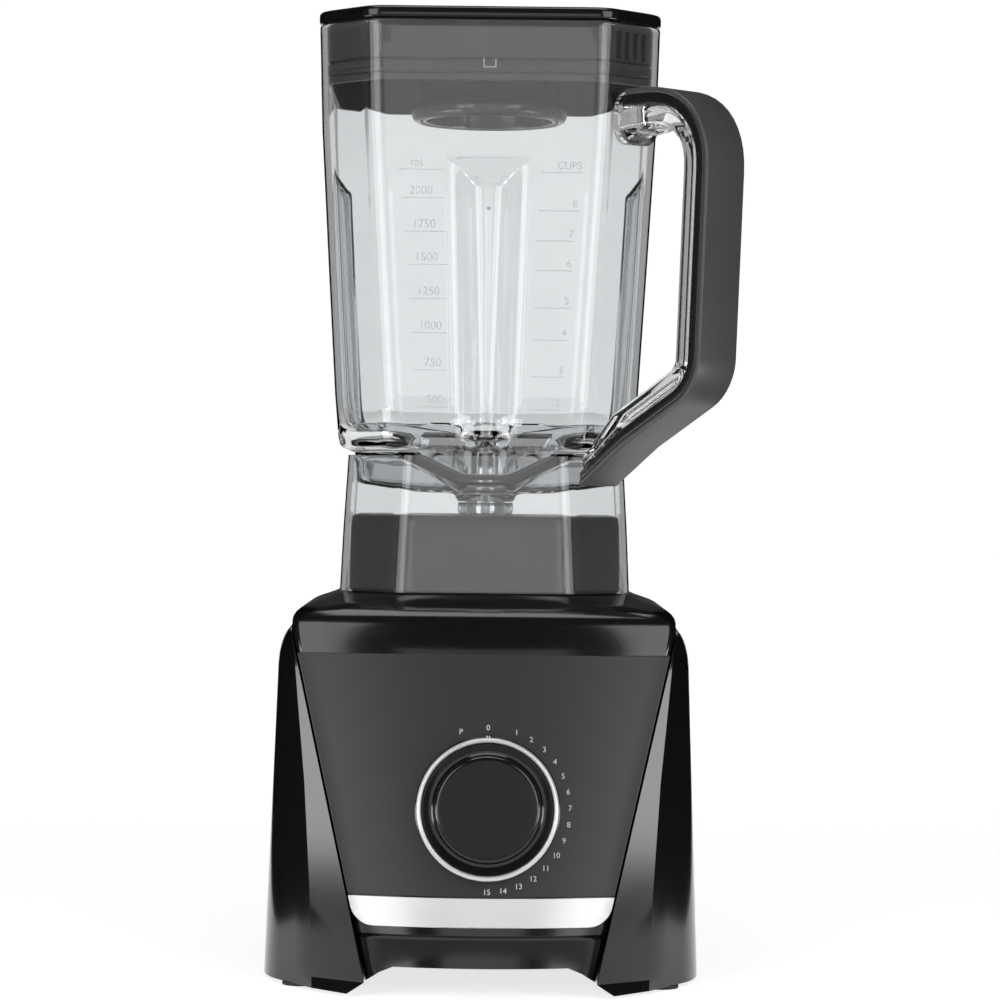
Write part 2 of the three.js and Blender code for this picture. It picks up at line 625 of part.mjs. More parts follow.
// A line through the corners, moved inwards by offset, with its bends rounded.
function handlePath(offset) {
  const corners = HANDLE_CORNERS.map(([u, z]) => new THREE.Vector2(u, z));
  const sides = [0, 1, 2].map((i) => {
    const along = corners[i + 1].clone().sub(corners[i]).normalize();
    const inward = new THREE.Vector2(along.y, -along.x);
    return { at: corners[i].clone().addScaledVector(inward, offset), along };
  });
  const cross = (a, b) => {
    const d = a.along.x * b.along.y - a.along.y * b.along.x;
    const s = ((b.at.x - a.at.x) * b.along.y - (b.at.y - a.at.y) * b.along.x) / d;
    return a.at.clone().addScaledVector(a.along, s);
  };
  const inner = new THREE.Vector2(sides[2].along.y, -sides[2].along.x);
  const ends = [sides[0].at, corners[3].clone().addScaledVector(inner, offset)];
  const bends = [cross(sides[0], sides[1]), cross(sides[1], sides[2])];
  const points = [ends[0]];
  bends.forEach((bend, i) => {
    const angle = sides[i].along.angleTo(sides[i + 1].along);
    const cut = (HANDLE_BENDS[i] - offset) * Math.tan(angle / 2);
    const from = bend.clone().addScaledVector(sides[i].along, -cut);
    const to = bend.clone().addScaledVector(sides[i + 1].along, cut);
    points.push(...new THREE.QuadraticBezierCurve(from, bend, to).getPoints(7));
  });
  return [...points, ends[1]];
}
function handleBand(outside, inside, width) {
  const outline = [...handlePath(outside), ...handlePath(inside).reverse()];
  return alongY(outline.map((p) => [p.x, p.y]), -width / 2, width / 2);
}
const cornerFace = (z) => (2 * jarHalf(z) - JAR_CHAMFER) / Math.SQRT2 + GAP;
const nearJar = loft(
  [200, ...JAR_LEVELS.map(([z]) => z)].map((z) =>
    [
      [-20, -30],
      [cornerFace(Math.max(z, 238)), -30],
      [cornerFace(Math.max(z, 238)), 30],
      [-20, 30],
    ].map(([u, v]) => new THREE.Vector3(u, v, z)),
  ),
);
const coreBand = handleBand(GRIP.thick + GAP, GRIP.thick + CORE.thick, CORE.width);
const topRoot = block(cornerFace(380), 102, -13, 13, 374, 396.5 - GRIP.thick - GAP);
const lowRoot = block(77, 92, -9, 9, 243.5, 252);
piece(handle, "handle_core", "clear", coreBand.add(topRoot).add(lowRoot).subtract(nearJar));
const gripBand = handleBand(0, GRIP.thick, GRIP.width).subtract(nearJar);
piece(handle, "handle_grip", "grip", gripBand);
handle.rotation.z = HANDLE_ANGLE;
jar.add(handle);

// ---- Blades, which turn in the jar's hub --------------------------------------------------------
const blades = new THREE.Group();
const BLADE = { z: 223.2, thick: 1.2, tip: 15.2, root: 6.5 };
const shaftTop = BLADE.z + 8;
piece(blades, "blade_shaft", "steel", disc(COUPLING.upper - 6, shaftTop, SHAFT_R, 20));
// A pair of wings: a flat middle with each wing bent by rise at its tip.
function wings(z, rise, reach, width) {
  const half = width / 2;
  const wing = alongY(
    [
      [BLADE.root - 1, z],
      [reach, z + rise],
      [reach, z + rise + BLADE.thick],
      [BLADE.root - 1, z + BLADE.thick],
    ],
    -half,
    half,
  );
  const middle = disc(z, z + BLADE.thick, BLADE.root, 20);
  return middle.add(wing).add(wing.rotate([0, 0, 180])).subtract(disc(z - 5, z + 20, SHAFT_R + GAP, 20));
}
piece(blades, "blade_lower", "steel", wings(BLADE.z, 5, BLADE.tip, 8));
piece(blades, "blade_washer", "steel", tube(BLADE.z + 1.5, BLADE.z + 2.5, 5.3, SHAFT_R + GAP, 24));
piece(blades, "blade_upper", "steel", wings(BLADE.z + 2.8, 8, 13.4, 7).rotate([0, 0, 62]));
const nutZ = BLADE.z + 2.8 + BLADE.thick + GAP;
const cap = disc(nutZ, nutZ + 3.6, 5.6, 6).subtract(disc(nutZ - 1, nutZ + 20, SHAFT_R + GAP, 20));
piece(blades, "blade_nut", "steel", cap);
const upperClutch = clutch(
  COUPLING.split + GAP * 2,
  COUPLING.upper - 6 - GAP,
  COUPLING.split - dogs + GAP,
  COUPLING.split + GAP * 2 + 1,
  180 / TEETH,
);
piece(blades, "jar_coupling", "rubber", upperClutch);
jar.add(blades);

// ---- Lid and filler cap -------------------------------------------------------------------------
const lid = new THREE.Group();
const lidSection = (z, half) => octagon(z, half, half, JAR_CHAMFER, CORNER);
const skirtHalf = (z) => jarHalf(z) - JAR_WALL - 0.5;
const lidPlate = loft([
  lidSection(LID.flange, LID.half - 0.4),
  lidSection(LID.flange + 1.5, LID.half),
  lidSection(LID.top - 1.6, LID.half),
  lidSection(LID.top, LID.half - 2),
]);
const skirtRing = (z, in_) => octagon(z, skirtHalf(z) - in_, skirtHalf(z) - in_, JAR_CHAMFER - 1.4, CORNER);
const skirtOuter = loft([skirtRing(LID.skirt, 0.4), lift(skirtRing(425.5, 0), LID.flange + 0.5)]);
const skirtInner = loft([
  lift(skirtRing(LID.skirt, LID.wall + 0.4), LID.skirt - 1),
  lift(skirtRing(425.5, LID.wall), LID.flange),
]);
const sealGroove = loft([lift(skirtRing(405, -2), 404.6), lift(skirtRing(405, -2), 408.4)]).subtract(
  loft([lift(skirtRing(405, 1.2), 404), lift(skirtRing(405, 1.2), 409)]),
);
const neckTube = disc(LID.neckBottom, LID.flange + 0.5, LID.neck, 40);
const pourVents = Array.from({ length: 4 }, (_, i) =>
  block(40, 130, -9.5 + i * 5.2, -6.6 + i * 5.2, 411, 423).rotate([0, 0, -45]),
);
const lidBody = pourVents.reduce(
  (left, slot) => left.subtract(slot),
  skirtOuter.subtract(skirtInner).subtract(sealGroove),
);
const neckBore = disc(300, 500, LID.neck - LID.wall, 40);
piece(lid, "lid_cover", "matte_black", lidPlate.add(lidBody).add(neckTube).subtract(neckBore));
const sealOuter = skirtRing(405, -0.1);
const sealRing = loft([lift(sealOuter, 404.6 + GAP), lift(sealOuter, 408.4 - GAP)]).subtract(
  loft([lift(skirtRing(405, 1.2 - GAP), 404), lift(skirtRing(405, 1.2 - GAP), 409)]),
);
piece(lid, "lid_gasket", "seal", sealRing);

const capR = LID.neck - LID.wall - GAP;
const capBody = disc(LID.neckBottom + 0.6, LID.top + 1, capR, 40)
  .add(disc(LID.top + GAP, CAP.top, CAP.flange, 40))
  .subtract(disc(300, LID.top - 0.6, capR - CAP.wall, 40));
const fillerCap = new THREE.Group();
piece(fillerCap, "filler_cap", "matte_black", capBody);

const blender = new THREE.Group();
blender.add(base, knob, rotor, jar, lid, fillerCap);
// The origin is the middle of the footprint's box, which the handle widens at one corner.
const bounds = new THREE.Box3().setFromObject(blender);
blender.position.set(-(bounds.min.x + bounds.max.x) / 2, -(bounds.min.y + bounds.max.y) / 2, 0);
export default blender;
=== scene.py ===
import math

import bmesh
import bpy
from mathutils import Matrix, Vector


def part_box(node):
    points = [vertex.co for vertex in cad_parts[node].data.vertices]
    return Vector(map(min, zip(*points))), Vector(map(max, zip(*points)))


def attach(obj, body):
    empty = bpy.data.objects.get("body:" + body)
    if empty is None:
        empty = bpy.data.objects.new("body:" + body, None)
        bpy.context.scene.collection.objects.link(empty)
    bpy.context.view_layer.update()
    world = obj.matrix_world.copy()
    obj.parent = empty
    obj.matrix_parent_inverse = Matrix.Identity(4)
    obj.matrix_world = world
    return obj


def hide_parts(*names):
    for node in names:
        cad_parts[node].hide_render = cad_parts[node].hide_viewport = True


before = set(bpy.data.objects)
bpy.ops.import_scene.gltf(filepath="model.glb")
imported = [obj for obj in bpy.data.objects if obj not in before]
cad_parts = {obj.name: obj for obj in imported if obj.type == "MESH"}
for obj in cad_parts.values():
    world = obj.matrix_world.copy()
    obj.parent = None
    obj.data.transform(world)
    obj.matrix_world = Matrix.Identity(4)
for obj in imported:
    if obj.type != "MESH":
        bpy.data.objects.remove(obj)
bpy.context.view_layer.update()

# ---- Camera -------------------------------------------------------------------------------------
# A long lens at the height of the jar's blades, in front of the knob. Sizes below are in millimetres
# about the motor's axis, and spot() turns them into places in the scene.
shaft_low, shaft_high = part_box("motor_shaft")
AXIS_X = (shaft_low[0] + shaft_high[0]) / 2
AXIS_Y = (shaft_low[1] + shaft_high[1]) / 2


def spot(x, y, z):
    return Vector((AXIS_X + x / 1000, AXIS_Y + y / 1000, z / 1000))


lens = bpy.data.cameras.new("camera")
lens.lens = 120.4
lens.sensor_width = 36
lens.clip_end = 50
camera = bpy.data.objects.new("camera", lens)
camera.location = spot(0, -1542, 225)
CAMERA_TILT, CAMERA_TURN, CAMERA_ROLL = math.radians(-0.36), math.radians(-0.25), math.radians(0.6)
camera.matrix_world = (
    Matrix.Translation(camera.location)
    @ Matrix.Rotation(CAMERA_TURN, 4, "Z")
    @ Matrix.Rotation(math.radians(90) + CAMERA_TILT, 4, "X")
    @ Matrix.Rotation(CAMERA_ROLL, 4, "Z")
)
bpy.context.collection.objects.link(camera)
bpy.context.scene.camera = camera

# ---- Floor and light ----------------------------------------------------------------------------
# A pale floor under a white surround. Black plastic mirrors only the floor close behind it, dim walls
# and softboxes: two in front, two low ones for the facets, a card behind the camera and one overhead.
FLOOR_CORNERS = ((-7, -7, 0), (7, -7, 0), (7, 9, 0), (-7, 9, 0))
GLOW = 0.72


def math_node(tree, operation, *values):
    """A math node in a tree. Each value is a number or another node's output."""
    node = tree.nodes.new("ShaderNodeMath")
    node.operation = operation
    for socket, value in zip(node.inputs, values):
        if isinstance(value, (int, float)):
            socket.default_value = value
        else:
            tree.links.new(value, socket)
    return node.outputs[0]


def fade(tree, source, start, stop, low, high):
    """A value that runs smoothly from low to high as the source runs from start to stop."""
    ramp = tree.nodes.new("ShaderNodeMapRange")
    ramp.interpolation_type = "SMOOTHSTEP"
    for label, value in (("From Min", start), ("From Max", stop), ("To Min", low), ("To Max", high)):
        ramp.inputs[label].default_value = value
    tree.links.new(source, ramp.inputs["Value"])
    return ramp.outputs["Result"]


def studio_sheet(name, corners, material):
    """A flat sheet that belongs to the studio."""
    shape = bmesh.new()
    shape.faces.new([shape.verts.new(corner) for corner in corners])
    mesh = bpy.data.meshes.new(name)
    shape.to_mesh(mesh)
    shape.free()
    mesh.materials.append(material)
    sheet = bpy.data.objects.new(name, mesh)
    bpy.context.collection.objects.link(sheet)
    return sheet


# The paper glows for reflections only behind the object, and wherever the camera looks at it. Seen
# from below it is clear.
paper = bpy.data.materials.new("studio_paper")
paper.use_nodes = True
paper_tree = paper.node_tree
paper_nodes, paper_links = paper_tree.nodes, paper_tree.links
paper_shader = paper_nodes["Principled BSDF"]
paper_shader.inputs["Base Color"].default_value = (0.55, 0.55, 0.55, 1)
paper_shader.inputs["Roughness"].default_value = 0.9
paper_shader.inputs["Specular IOR Level"].default_value = 0.0
paper_shader.inputs["Emission Color"].default_value = (1, 1, 1, 1)
paper_place = paper_nodes.new("ShaderNodeTexCoord").outputs["Object"]
paper_axes = paper_nodes.new("ShaderNodeSeparateXYZ")
paper_links.new(paper_place, paper_axes.inputs[0])
sideways = math_node(paper_tree, "ABSOLUTE", paper_axes.outputs["X"])
widening = math_node(paper_tree, "MULTIPLY_ADD", paper_axes.outputs["Y"], -0.15, sideways)
past_front = fade(paper_tree, paper_axes.outputs["Y"], -0.22, -0.12, 0.0, GLOW)
glow = math_node(paper_tree, "MULTIPLY", past_front, fade(paper_tree, widening, 0.265, 0.4, 1.0, 0.0))
ray_kind = paper_nodes.new("ShaderNodeLightPath")
distance = paper_nodes.new("ShaderNodeVectorMath")
distance.operation = "LENGTH"
paper_links.new(paper_place, distance.inputs[0])
outwards = fade(paper_tree, distance.outputs["Value"], 0.3, 1.5, GLOW + 0.03, 1.0)
direct = math_node(paper_tree, "MULTIPLY", outwards, ray_kind.outputs["Is Camera Ray"])
through = math_node(paper_tree, "MULTIPLY_ADD", ray_kind.outputs["Is Transmission Ray"], 0.34, direct)
brighter = math_node(paper_tree, "MAXIMUM", through, glow)
paper_links.new(brighter, paper_shader.inputs["Emission Strength"])
clear_below = paper_nodes.new("ShaderNodeMixShader")
paper_links.new(paper_nodes.new("ShaderNodeNewGeometry").outputs["Backfacing"], clear_below.inputs["Fac"])
paper_links.new(paper_shader.outputs["BSDF"], clear_below.inputs[1])
paper_links.new(paper_nodes.new("ShaderNodeBsdfTransparent").outputs[0], clear_below.inputs[2])
paper_links.new(clear_below.outputs[0], paper_nodes["Material Output"].inputs["Surface"])
studio_sheet("studio_floor", FLOOR_CORNERS, paper)

# Dark flags at both sides, seen only in reflections, keep the edges of the black shells dark.
felt = bpy.data.materials.new("flag_felt")
felt.use_nodes = True
felt_shader = felt.node_tree.nodes["Principled BSDF"]
felt_shader.inputs["Base Color"].default_value = (0.004, 0.004, 0.004, 1)
felt_shader.inputs["Specular IOR Level"].default_value = 0.0
FLAG_OUTLINE = ((-0.12, 0), (1.1, 0), (1.1, 0.75), (-0.12, 0.75))
for side_name, flag_x in (("left", -0.27), ("right", 0.27)):
    flag = studio_sheet(f"{side_name}_flag", [(flag_x, y, z) for y, z in FLAG_OUTLINE], felt)
    flag.visible_camera = flag.visible_diffuse = flag.visible_transmission = flag.visible_shadow = False


def softbox(name, place, aim, wide, tall, power):
    light = bpy.data.lights.new(name, "AREA")
    light.shape = "RECTANGLE"
    light.size, light.size_y = wide, tall
    light.energy = power
    lamp = bpy.data.objects.new(name, light)
    lamp.location = place
    lamp.rotation_euler = (Vector(aim) - Vector(place)).to_track_quat("-Z", "Y").to_euler()
    lamp.visible_camera = False
    bpy.context.collection.objects.link(lamp)


softbox("left_softbox", (-0.82, -1.13, 0.55), (0, 0, 0.25), 0.75, 1.2, 9)
softbox("right_softbox", (0.82, -1.13, 0.55), (0, 0, 0.25), 0.75, 1.2, 9)
softbox("front_card", (0, -2.2, 0.29), (0, 0, 0.29), 1.0, 0.58, 2.2)
softbox("left_low_card", (-0.5, -0.27, 0.04), (0, -0.05, 0.06), 0.34, 0.2, 1.5)
softbox("right_low_card", (0.5, -0.27, 0.04), (0, -0.05, 0.06), 0.34, 0.2, 1.5)
softbox("overhead_softbox", (0, -0.15, 1.5), (0, 0, 0.2), 0.9, 0.7, 7)
world = bpy.data.worlds.new("studio")
bpy.context.scene.world = world
world.use_nodes = True
world_tree = world.node_tree
world_nodes = world_tree.nodes
ray_kind = world_nodes.new("ShaderNodeLightPath")
heading = world_nodes.new("ShaderNodeSeparateXYZ")
world_tree.links.new(world_nodes.new("ShaderNodeTexCoord").outputs["Generated"], heading.inputs[0])
behind = fade(world_tree, heading.outputs["Y"], 0.962, 0.982, 0.34, 0.96)
see_through = math_node(world_tree, "MULTIPLY_ADD", ray_kind.outputs["Is Transmission Ray"], behind, 0.06)
seen = math_node(world_tree, "MULTIPLY_ADD", ray_kind.outputs["Is Camera Ray"], 0.96, see_through)
world_nodes["Background"].inputs["Color"].default_value = (1, 1, 1, 1)
world_tree.links.new(seen, world_nodes["Background"].inputs["Strength"])
bpy.context.scene.view_settings.view_transform = "Standard"

# ---- Base housing -------------------------------------------------------------------------------
# The glossy black moulding in the middle of the base: it carries the front panel, swells into a
# rounded shoulder and narrows to the neck under the jar. Injection moulded ABS, polished outside.


def make_surface_group():
    """Moulded or ground surface: mottling of tone, roughness and height, from object coordinates."""
    group = bpy.data.node_groups.new("surface_grain", "ShaderNodeTree")
    for label, kind, default in (
        ("Scale", "NodeSocketFloat", 300.0),
        ("Stretch", "NodeSocketVector", (1.0, 1.0, 1.0)),
        ("Smooth", "NodeSocketFloat", 0.3),
        ("Rough", "NodeSocketFloat", 0.4),
        ("Dark", "NodeSocketColor", (0.0, 0.0, 0.0, 1.0)),
        ("Light", "NodeSocketColor", (0.1, 0.1, 0.1, 1.0)),
    ):
        socket = group.interface.new_socket(label, in_out="INPUT", socket_type=kind)
        socket.default_value = default
    for label, kind in (("Color", "Color"), ("Roughness", "Float"), ("Height", "Float")):
        group.interface.new_socket(label, in_out="OUTPUT", socket_type=f"NodeSocket{kind}")
    nodes, links = group.nodes, group.links
    entry, leave = nodes.new("NodeGroupInput"), nodes.new("NodeGroupOutput")
    coords = nodes.new("ShaderNodeTexCoord")
    stretch = nodes.new("ShaderNodeVectorMath")
    stretch.operation = "MULTIPLY"
    links.new(coords.outputs["Object"], stretch.inputs[0])
    links.new(entry.outputs["Stretch"], stretch.inputs[1])
    fine = nodes.new("ShaderNodeTexNoise")
    fine.inputs["Detail"].default_value = 4
    links.new(stretch.outputs[0], fine.inputs["Vector"])
    links.new(entry.outputs["Scale"], fine.inputs["Scale"])
    broad = nodes.new("ShaderNodeTexNoise")
    broad.inputs["Scale"].default_value = 9
    broad.inputs["Detail"].default_value = 5
    broad.inputs["Roughness"].default_value = 0.62
    links.new(coords.outputs["Object"], broad.inputs["Vector"])
    half = math_node(group, "MULTIPLY", broad.outputs["Fac"], 0.55)
    blend = math_node(group, "MULTIPLY_ADD", fine.outputs["Fac"], 0.45, half)
    spread = nodes.new("ShaderNodeMapRange")
    spread.inputs["From Min"].default_value = 0.32
    spread.inputs["From Max"].default_value = 0.68
    links.new(blend, spread.inputs["Value"])
    tone = nodes.new("ShaderNodeMix")
    tone.data_type = "RGBA"
    links.new(spread.outputs["Result"], tone.inputs["Factor"])
    links.new(entry.outputs["Dark"], tone.inputs["A"])
    links.new(entry.outputs["Light"], tone.inputs["B"])
    links.new(tone.outputs["Result"], leave.inputs["Color"])
    matt = nodes.new("ShaderNodeMapRange")
    links.new(spread.outputs["Result"], matt.inputs["Value"])
    links.new(entry.outputs["Smooth"], matt.inputs["To Min"])
    links.new(entry.outputs["Rough"], matt.inputs["To Max"])
    links.new(matt.outputs["Result"], leave.inputs["Roughness"])
    links.new(fine.outputs["Fac"], leave.inputs["Height"])
    return group


surface_grain = make_surface_group()


def finish_material(name, dark, light, smooth, rough, grain=300, stretch=(1, 1, 1), bump=0.0, **fixed):
    """A surface whose tone, roughness and fine relief vary; fixed sets the shader's other sockets."""
    material = bpy.data.materials.new(name)
    material.use_nodes = True
    nodes, links = material.node_tree.nodes, material.node_tree.links
    shader = nodes["Principled BSDF"]
    grain_node = nodes.new("ShaderNodeGroup")
    grain_node.node_tree = surface_grain
    for label, value in (
        ("Scale", grain), ("Stretch", stretch), ("Smooth", smooth), ("Rough", rough),
        ("Dark", (*dark, 1)), ("Light", (*light, 1)),
    ):
        grain_node.inputs[label].default_value = value
    links.new(grain_node.outputs["Color"], shader.inputs["Base Color"])
    links.new(grain_node.outputs["Roughness"], shader.inputs["Roughness"])
    if bump:
        relief = nodes.new("ShaderNodeBump")
        relief.inputs["Strength"].default_value = 1.0
        relief.inputs["Distance"].default_value = bump / 1000
        links.new(grain_node.outputs["Height"], relief.inputs["Height"])
        links.new(relief.outputs["Normal"], shader.inputs["Normal"])
    for label, value in fixed.items():
        shader.inputs[label.replace("_", " ")].default_value = value
    return material


gloss_black = finish_material(
    "gloss_black", (0.0035, 0.0035, 0.0038), (0.0055, 0.0055, 0.006), 0.1, 0.17, grain=700, bump=0.004
)


def join_loops(shape, loops, around=False):
    """Faces between loops of vertices; around joins the last to the first, and without it both end."""
    for low, high in list(zip(loops, loops[1:])) + ([(loops[-1], loops[0])] if around else []):
        for i in range(len(low)):
            j = (i + 1) % len(low)
            shape.faces.new((low[i], low[j], high[j], high[i]))
    if not around:
        shape.faces.new(loops[0])
        shape.faces.new(list(reversed(loops[-1])))
    return shape


def skin_rings(rings, around=False):
    """A solid through rings of points. around makes it a shell whose last ring meets its first."""
    shape = bmesh.new()
    return join_loops(shape, [[shape.verts.new(spot(*point)) for point in ring] for ring in rings], around)


def make_piece(name, shape, body, material, stands_for=(), slot=None, sharp=32, bevel=0.0):
    """Turns the built shape into a piece that rides on a body and stands for its CAD nodes."""
    bmesh.ops.recalc_face_normals(shape, faces=shape.faces)
    mesh = bpy.data.meshes.new(name)
    shape.to_mesh(mesh)
    shape.free()
    mesh.shade_smooth()
    mesh.set_sharp_from_angle(angle=math.radians(sharp))
    mesh.materials.append(material)
    piece = bpy.data.objects.new(name, mesh)
    bpy.context.collection.objects.link(piece)
    if bevel:
        edge = piece.modifiers.new("rounded_edges", "BEVEL")
        edge.width = bevel / 1000
        edge.segments = 3
        edge.limit_method = "ANGLE"
        edge.angle_limit = math.radians(40)
        edge.harden_normals = True
    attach(piece, body)
    if stands_for:
        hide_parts(*stands_for)
    return piece


def eight_sided(z, half_x, half_y, cut, radius, bow=0.0, flat=6, arc=4):
    """Ring of an eight-sided section with rounded corners; bow pushes its front and back out."""
    cx, cy = half_x - cut, half_y - cut
    corners = [Vector(c) for c in (
        (half_x, -cy), (half_x, cy), (cx, half_y), (-cx, half_y),
        (-half_x, cy), (-half_x, -cy), (-cx, -half_y), (cx, -half_y),
    )]
    ends = []
    for i, corner in enumerate(corners):
        before, after = corners[i - 1], corners[(i + 1) % 8]
        back = min(radius * 0.42, (corner - before).length * 0.48, (corner - after).length * 0.48)
        ends.append((
            corner + (before - corner).normalized() * back,
            corner + (after - corner).normalized() * back,
        ))
    ring = []
    for i in range(8):
        start, stop = ends[i][1], ends[(i + 1) % 8][0]
        for k in range(flat + 1):
            point = start.lerp(stop, k / flat)
            share = max(0.0, 1 - (point.x / max(cx, 1e-6)) ** 2) if i in (2, 6) else 0.0
            ring.append((point.x, point.y + math.copysign(bow * share, point.y), z))
        knee, leave = corners[(i + 1) % 8], ends[(i + 1) % 8][1]
        for k in range(1, arc):
            t = k / arc
            point = stop * (1 - t) ** 2 + knee * 2 * t * (1 - t) + leave * t * t
            ring.append((point.x, point.y, z))
    return ring


SHOULDER_Z, NECK_Z, NECK_HALF = 150, 174, 65.6
BASE_FOOT = 1.5
FRONT_BOW = 8


def core_half(z):
    return 48.9 + (83.0 - 48.9) * min(z, SHOULDER_Z) / SHOULDER_Z


def core_front(z):
    return 95 + (77 - 95) * min(z, SHOULDER_Z) / SHOULDER_Z


SHOULDER = [
    (SHOULDER_Z, 82.7, 77), (153, 83.3, 76.6), (156.5, 83.9, 75.9), (159.5, 84.3, 75.1), (162, 84.4, 74.3),
    (164, 84, 73.5), (165.8, 82.9, 72.7), (167.2, 81.3, 71.9), (168.4, 79, 71.1), (169.5, 76.2, 70.2),
    (170.6, 73.2, 69.2), (171.6, 70.6, 68.3), (172.5, 68.6, 67.4), (173.3, 67, 66.5),
    (NECK_Z, NECK_HALF, NECK_HALF),
]
SHOULDER_WIDE = 84.4
CORE_CUT, NECK_CUT = 2.6, 27
core_rings = []
CHIN = [(BASE_FOOT, 2.4), (13, 2.4), (25, 2.4), (26, 2.2), (26.7, 1.5), (27.1, 0.5), (27.6, 0), (31, 0)]
for z, inset in CHIN + [(level, 0) for level in (60, 90, 120, 140, SHOULDER_Z)]:
    core_rings.append(
        eight_sided(z, core_half(z) - 0.3, core_front(z) - inset, CORE_CUT, 3, bow=FRONT_BOW, flat=14, arc=3)
    )
for z, half_x, half_y in SHOULDER[1:]:
    share = (SHOULDER_WIDE - half_x) / (SHOULDER_WIDE - NECK_HALF) if z > 162 else 0.0
    cut, bow = CORE_CUT + (NECK_CUT - CORE_CUT) * share**0.75, FRONT_BOW * (1 - share) ** 1.3
    core_rings.append(eight_sided(z, half_x, half_y, cut, 3 + 14 * share, bow=bow, flat=14, arc=3))
housing = make_piece(
    "base_core", skin_rings(core_rings), "base", gloss_black, ["base_housing"], "gloss_black", sharp=38
)


def cut_away(piece, cutter_shape, name, operation="DIFFERENCE"):
    """Takes a shape out of a piece for good, or joins it on with UNION."""
    cutter_mesh = bpy.data.meshes.new(name)
    bmesh.ops.recalc_face_normals(cutter_shape, faces=cutter_shape.faces)
    cutter_shape.to_mesh(cutter_mesh)
    cutter_shape.free()
    cutter = bpy.data.objects.new(name, cutter_mesh)
    bpy.context.collection.objects.link(cutter)
    step = piece.modifiers.new(name, "BOOLEAN")
    step.object = cutter
    step.solver = "EXACT"
    step.operation = operation
    result = bpy.data.meshes.new_from_object(piece.evaluated_get(bpy.context.evaluated_depsgraph_get()))
    piece.modifiers.remove(step)
    piece.data = result
    bpy.data.objects.remove(cutter)


def block_between(x0, x1, y0, y1, z0, z1):
    low = [(x0, y0, z0), (x1, y0, z0), (x1, y1, z0), (x0, y1, z0)]
    return skin_rings([low, [(x, y, z1) for x, y, _ in low]])


def along_depth(outline, y0, y1):
    """A closed outline in x and z, drawn out from y0 to y1."""
    return skin_rings([[(x, y0, z) for x, z in outline], [(x, y1, z) for x, z in outline]])


ARCH_Z = 13.2
arch_outline = [(-58, -8), (58, -8), (58, 1.6), (53, 4.5), (44, 10.6), (38, ARCH_Z)]
arch_outline += [(-x, z) for x, z in reversed(arch_outline[2:])]
cut_away(housing, along_depth(arch_outline, -140, 140), "leg_arch")
cut_away(housing, block_between(-34, 34, 80, 130, 62, 112), "grille_pocket")
pocket_rings = [
    eight_sided(z, core_half(15) - 4.6, core_front(15) - 4.3, 2, 2, bow=FRONT_BOW, flat=14, arc=3)
    for z in (-4, 17)
]
cut_away(housing, skin_rings(pocket_rings), "bottom_pocket")

# ---- Side shells --------------------------------------------------------------------------------
# Two glossy covers that wrap the sides and end in the legs. A narrow facet runs down beside the front
# panel and widens to the leg; the face behind it turns round the side. Clipped on from the sides.
CREASE_LINE = [
    (BASE_FOOT, 73.9, 80), (20, 74.4, 79.6), (46, 75.2, 80.5), (92.6, 78, 79.2), (SHOULDER_Z, 83.4, 76.5),
    (200, 84.6, 74),
]
FACET_SLOPE = [(BASE_FOOT, 1.0), (20, 0.75), (46, 0.6), (200, 0.6)]
SHELL_PULL = [
    (0, 0), (141, 0), (146, 0.35), (150, 1.1), (153, 2.2), (155.5, 3.6), (157.5, 5.2), (159, 6.9), (160, 8.6),
]


def between(table, z, column=1):
    for low, high in zip(table, table[1:]):
        if z <= high[0]:
            share = (z - low[0]) / (high[0] - low[0])
            return low[column] + (high[column] - low[column]) * share
    return table[-1][column]


def shell_ring(z):
    pull = between(SHELL_PULL, z)
    inner = core_half(z) + 0.05 if z <= SHOULDER_Z else between(SHOULDER, z) + 0.3
    edge_x = max(inner, 58 - 1.55 * (z - BASE_FOOT))
    side = 98.3 + (92.8 - 98.3) * min(z, SHOULDER_Z) / SHOULDER_Z - pull
    side = max(side, edge_x + 0.4)
    crease = Vector((min(between(CREASE_LINE, z), side - 0.2), between(CREASE_LINE, z, 2) - pull * 0.8))
    crease.x = max(crease.x, edge_x + 0.2)
    proud = crease.y + between(FACET_SLOPE, z) * (crease.x - edge_x)
    edge = Vector((edge_x, min(proud, core_front(z) + 2)))
    knee = Vector((side, 43 + (40 - 43) * min(z, SHOULDER_Z) / SHOULDER_Z))
    into = knee + (crease - knee).normalized() * min(15, (crease - knee).length * 0.5)
    out = knee - Vector((0, 22))
    bend = [into * (1 - t) ** 2 + knee * 2 * t * (1 - t) + out * t * t for t in [k / 8 for k in range(9)]]
    front = [edge, crease, crease.lerp(into, 0.5), *bend, Vector((side, 12))]
    return [(p.x, -p.y, z) for p in front] + [(p.x, p.y, z) for p in reversed(front)]


shell_levels = [BASE_FOOT, 3.5, 6.42, 12, 24, 46, 70, 92.6, 115, 130, *[level for level, _ in SHELL_PULL[1:]]]
for side_name, flip in (("right", 1), ("left", -1)):
    rings = [[(flip * x, y, z) for x, y, z in shell_ring(level)] for level in shell_levels]
    make_piece(
        f"{side_name}_shell", skin_rings(rings), "base", gloss_black, [f"{side_name}_side_shell"],
        "gloss_black", sharp=24, bevel=0.3,
    )

# ---- Front panel and bright strip ---------------------------------------------------------------
# A satin plate, wider at the top and bowed forwards, snapped over the front. A bright plated strip
# with rounded lower corners closes it at the bottom.
satin_panel = finish_material(
    "satin_panel", (0.0085, 0.0085, 0.0095), (0.0125, 0.0125, 0.0135), 0.36, 0.46, grain=2600, bump=0.012
)
bright_plating = finish_material(
    "bright_plating", (0.6, 0.6, 0.61), (0.66, 0.66, 0.67), 0.28, 0.33, grain=90, stretch=(0.15, 1, 1),
    Metallic=0.45,
)


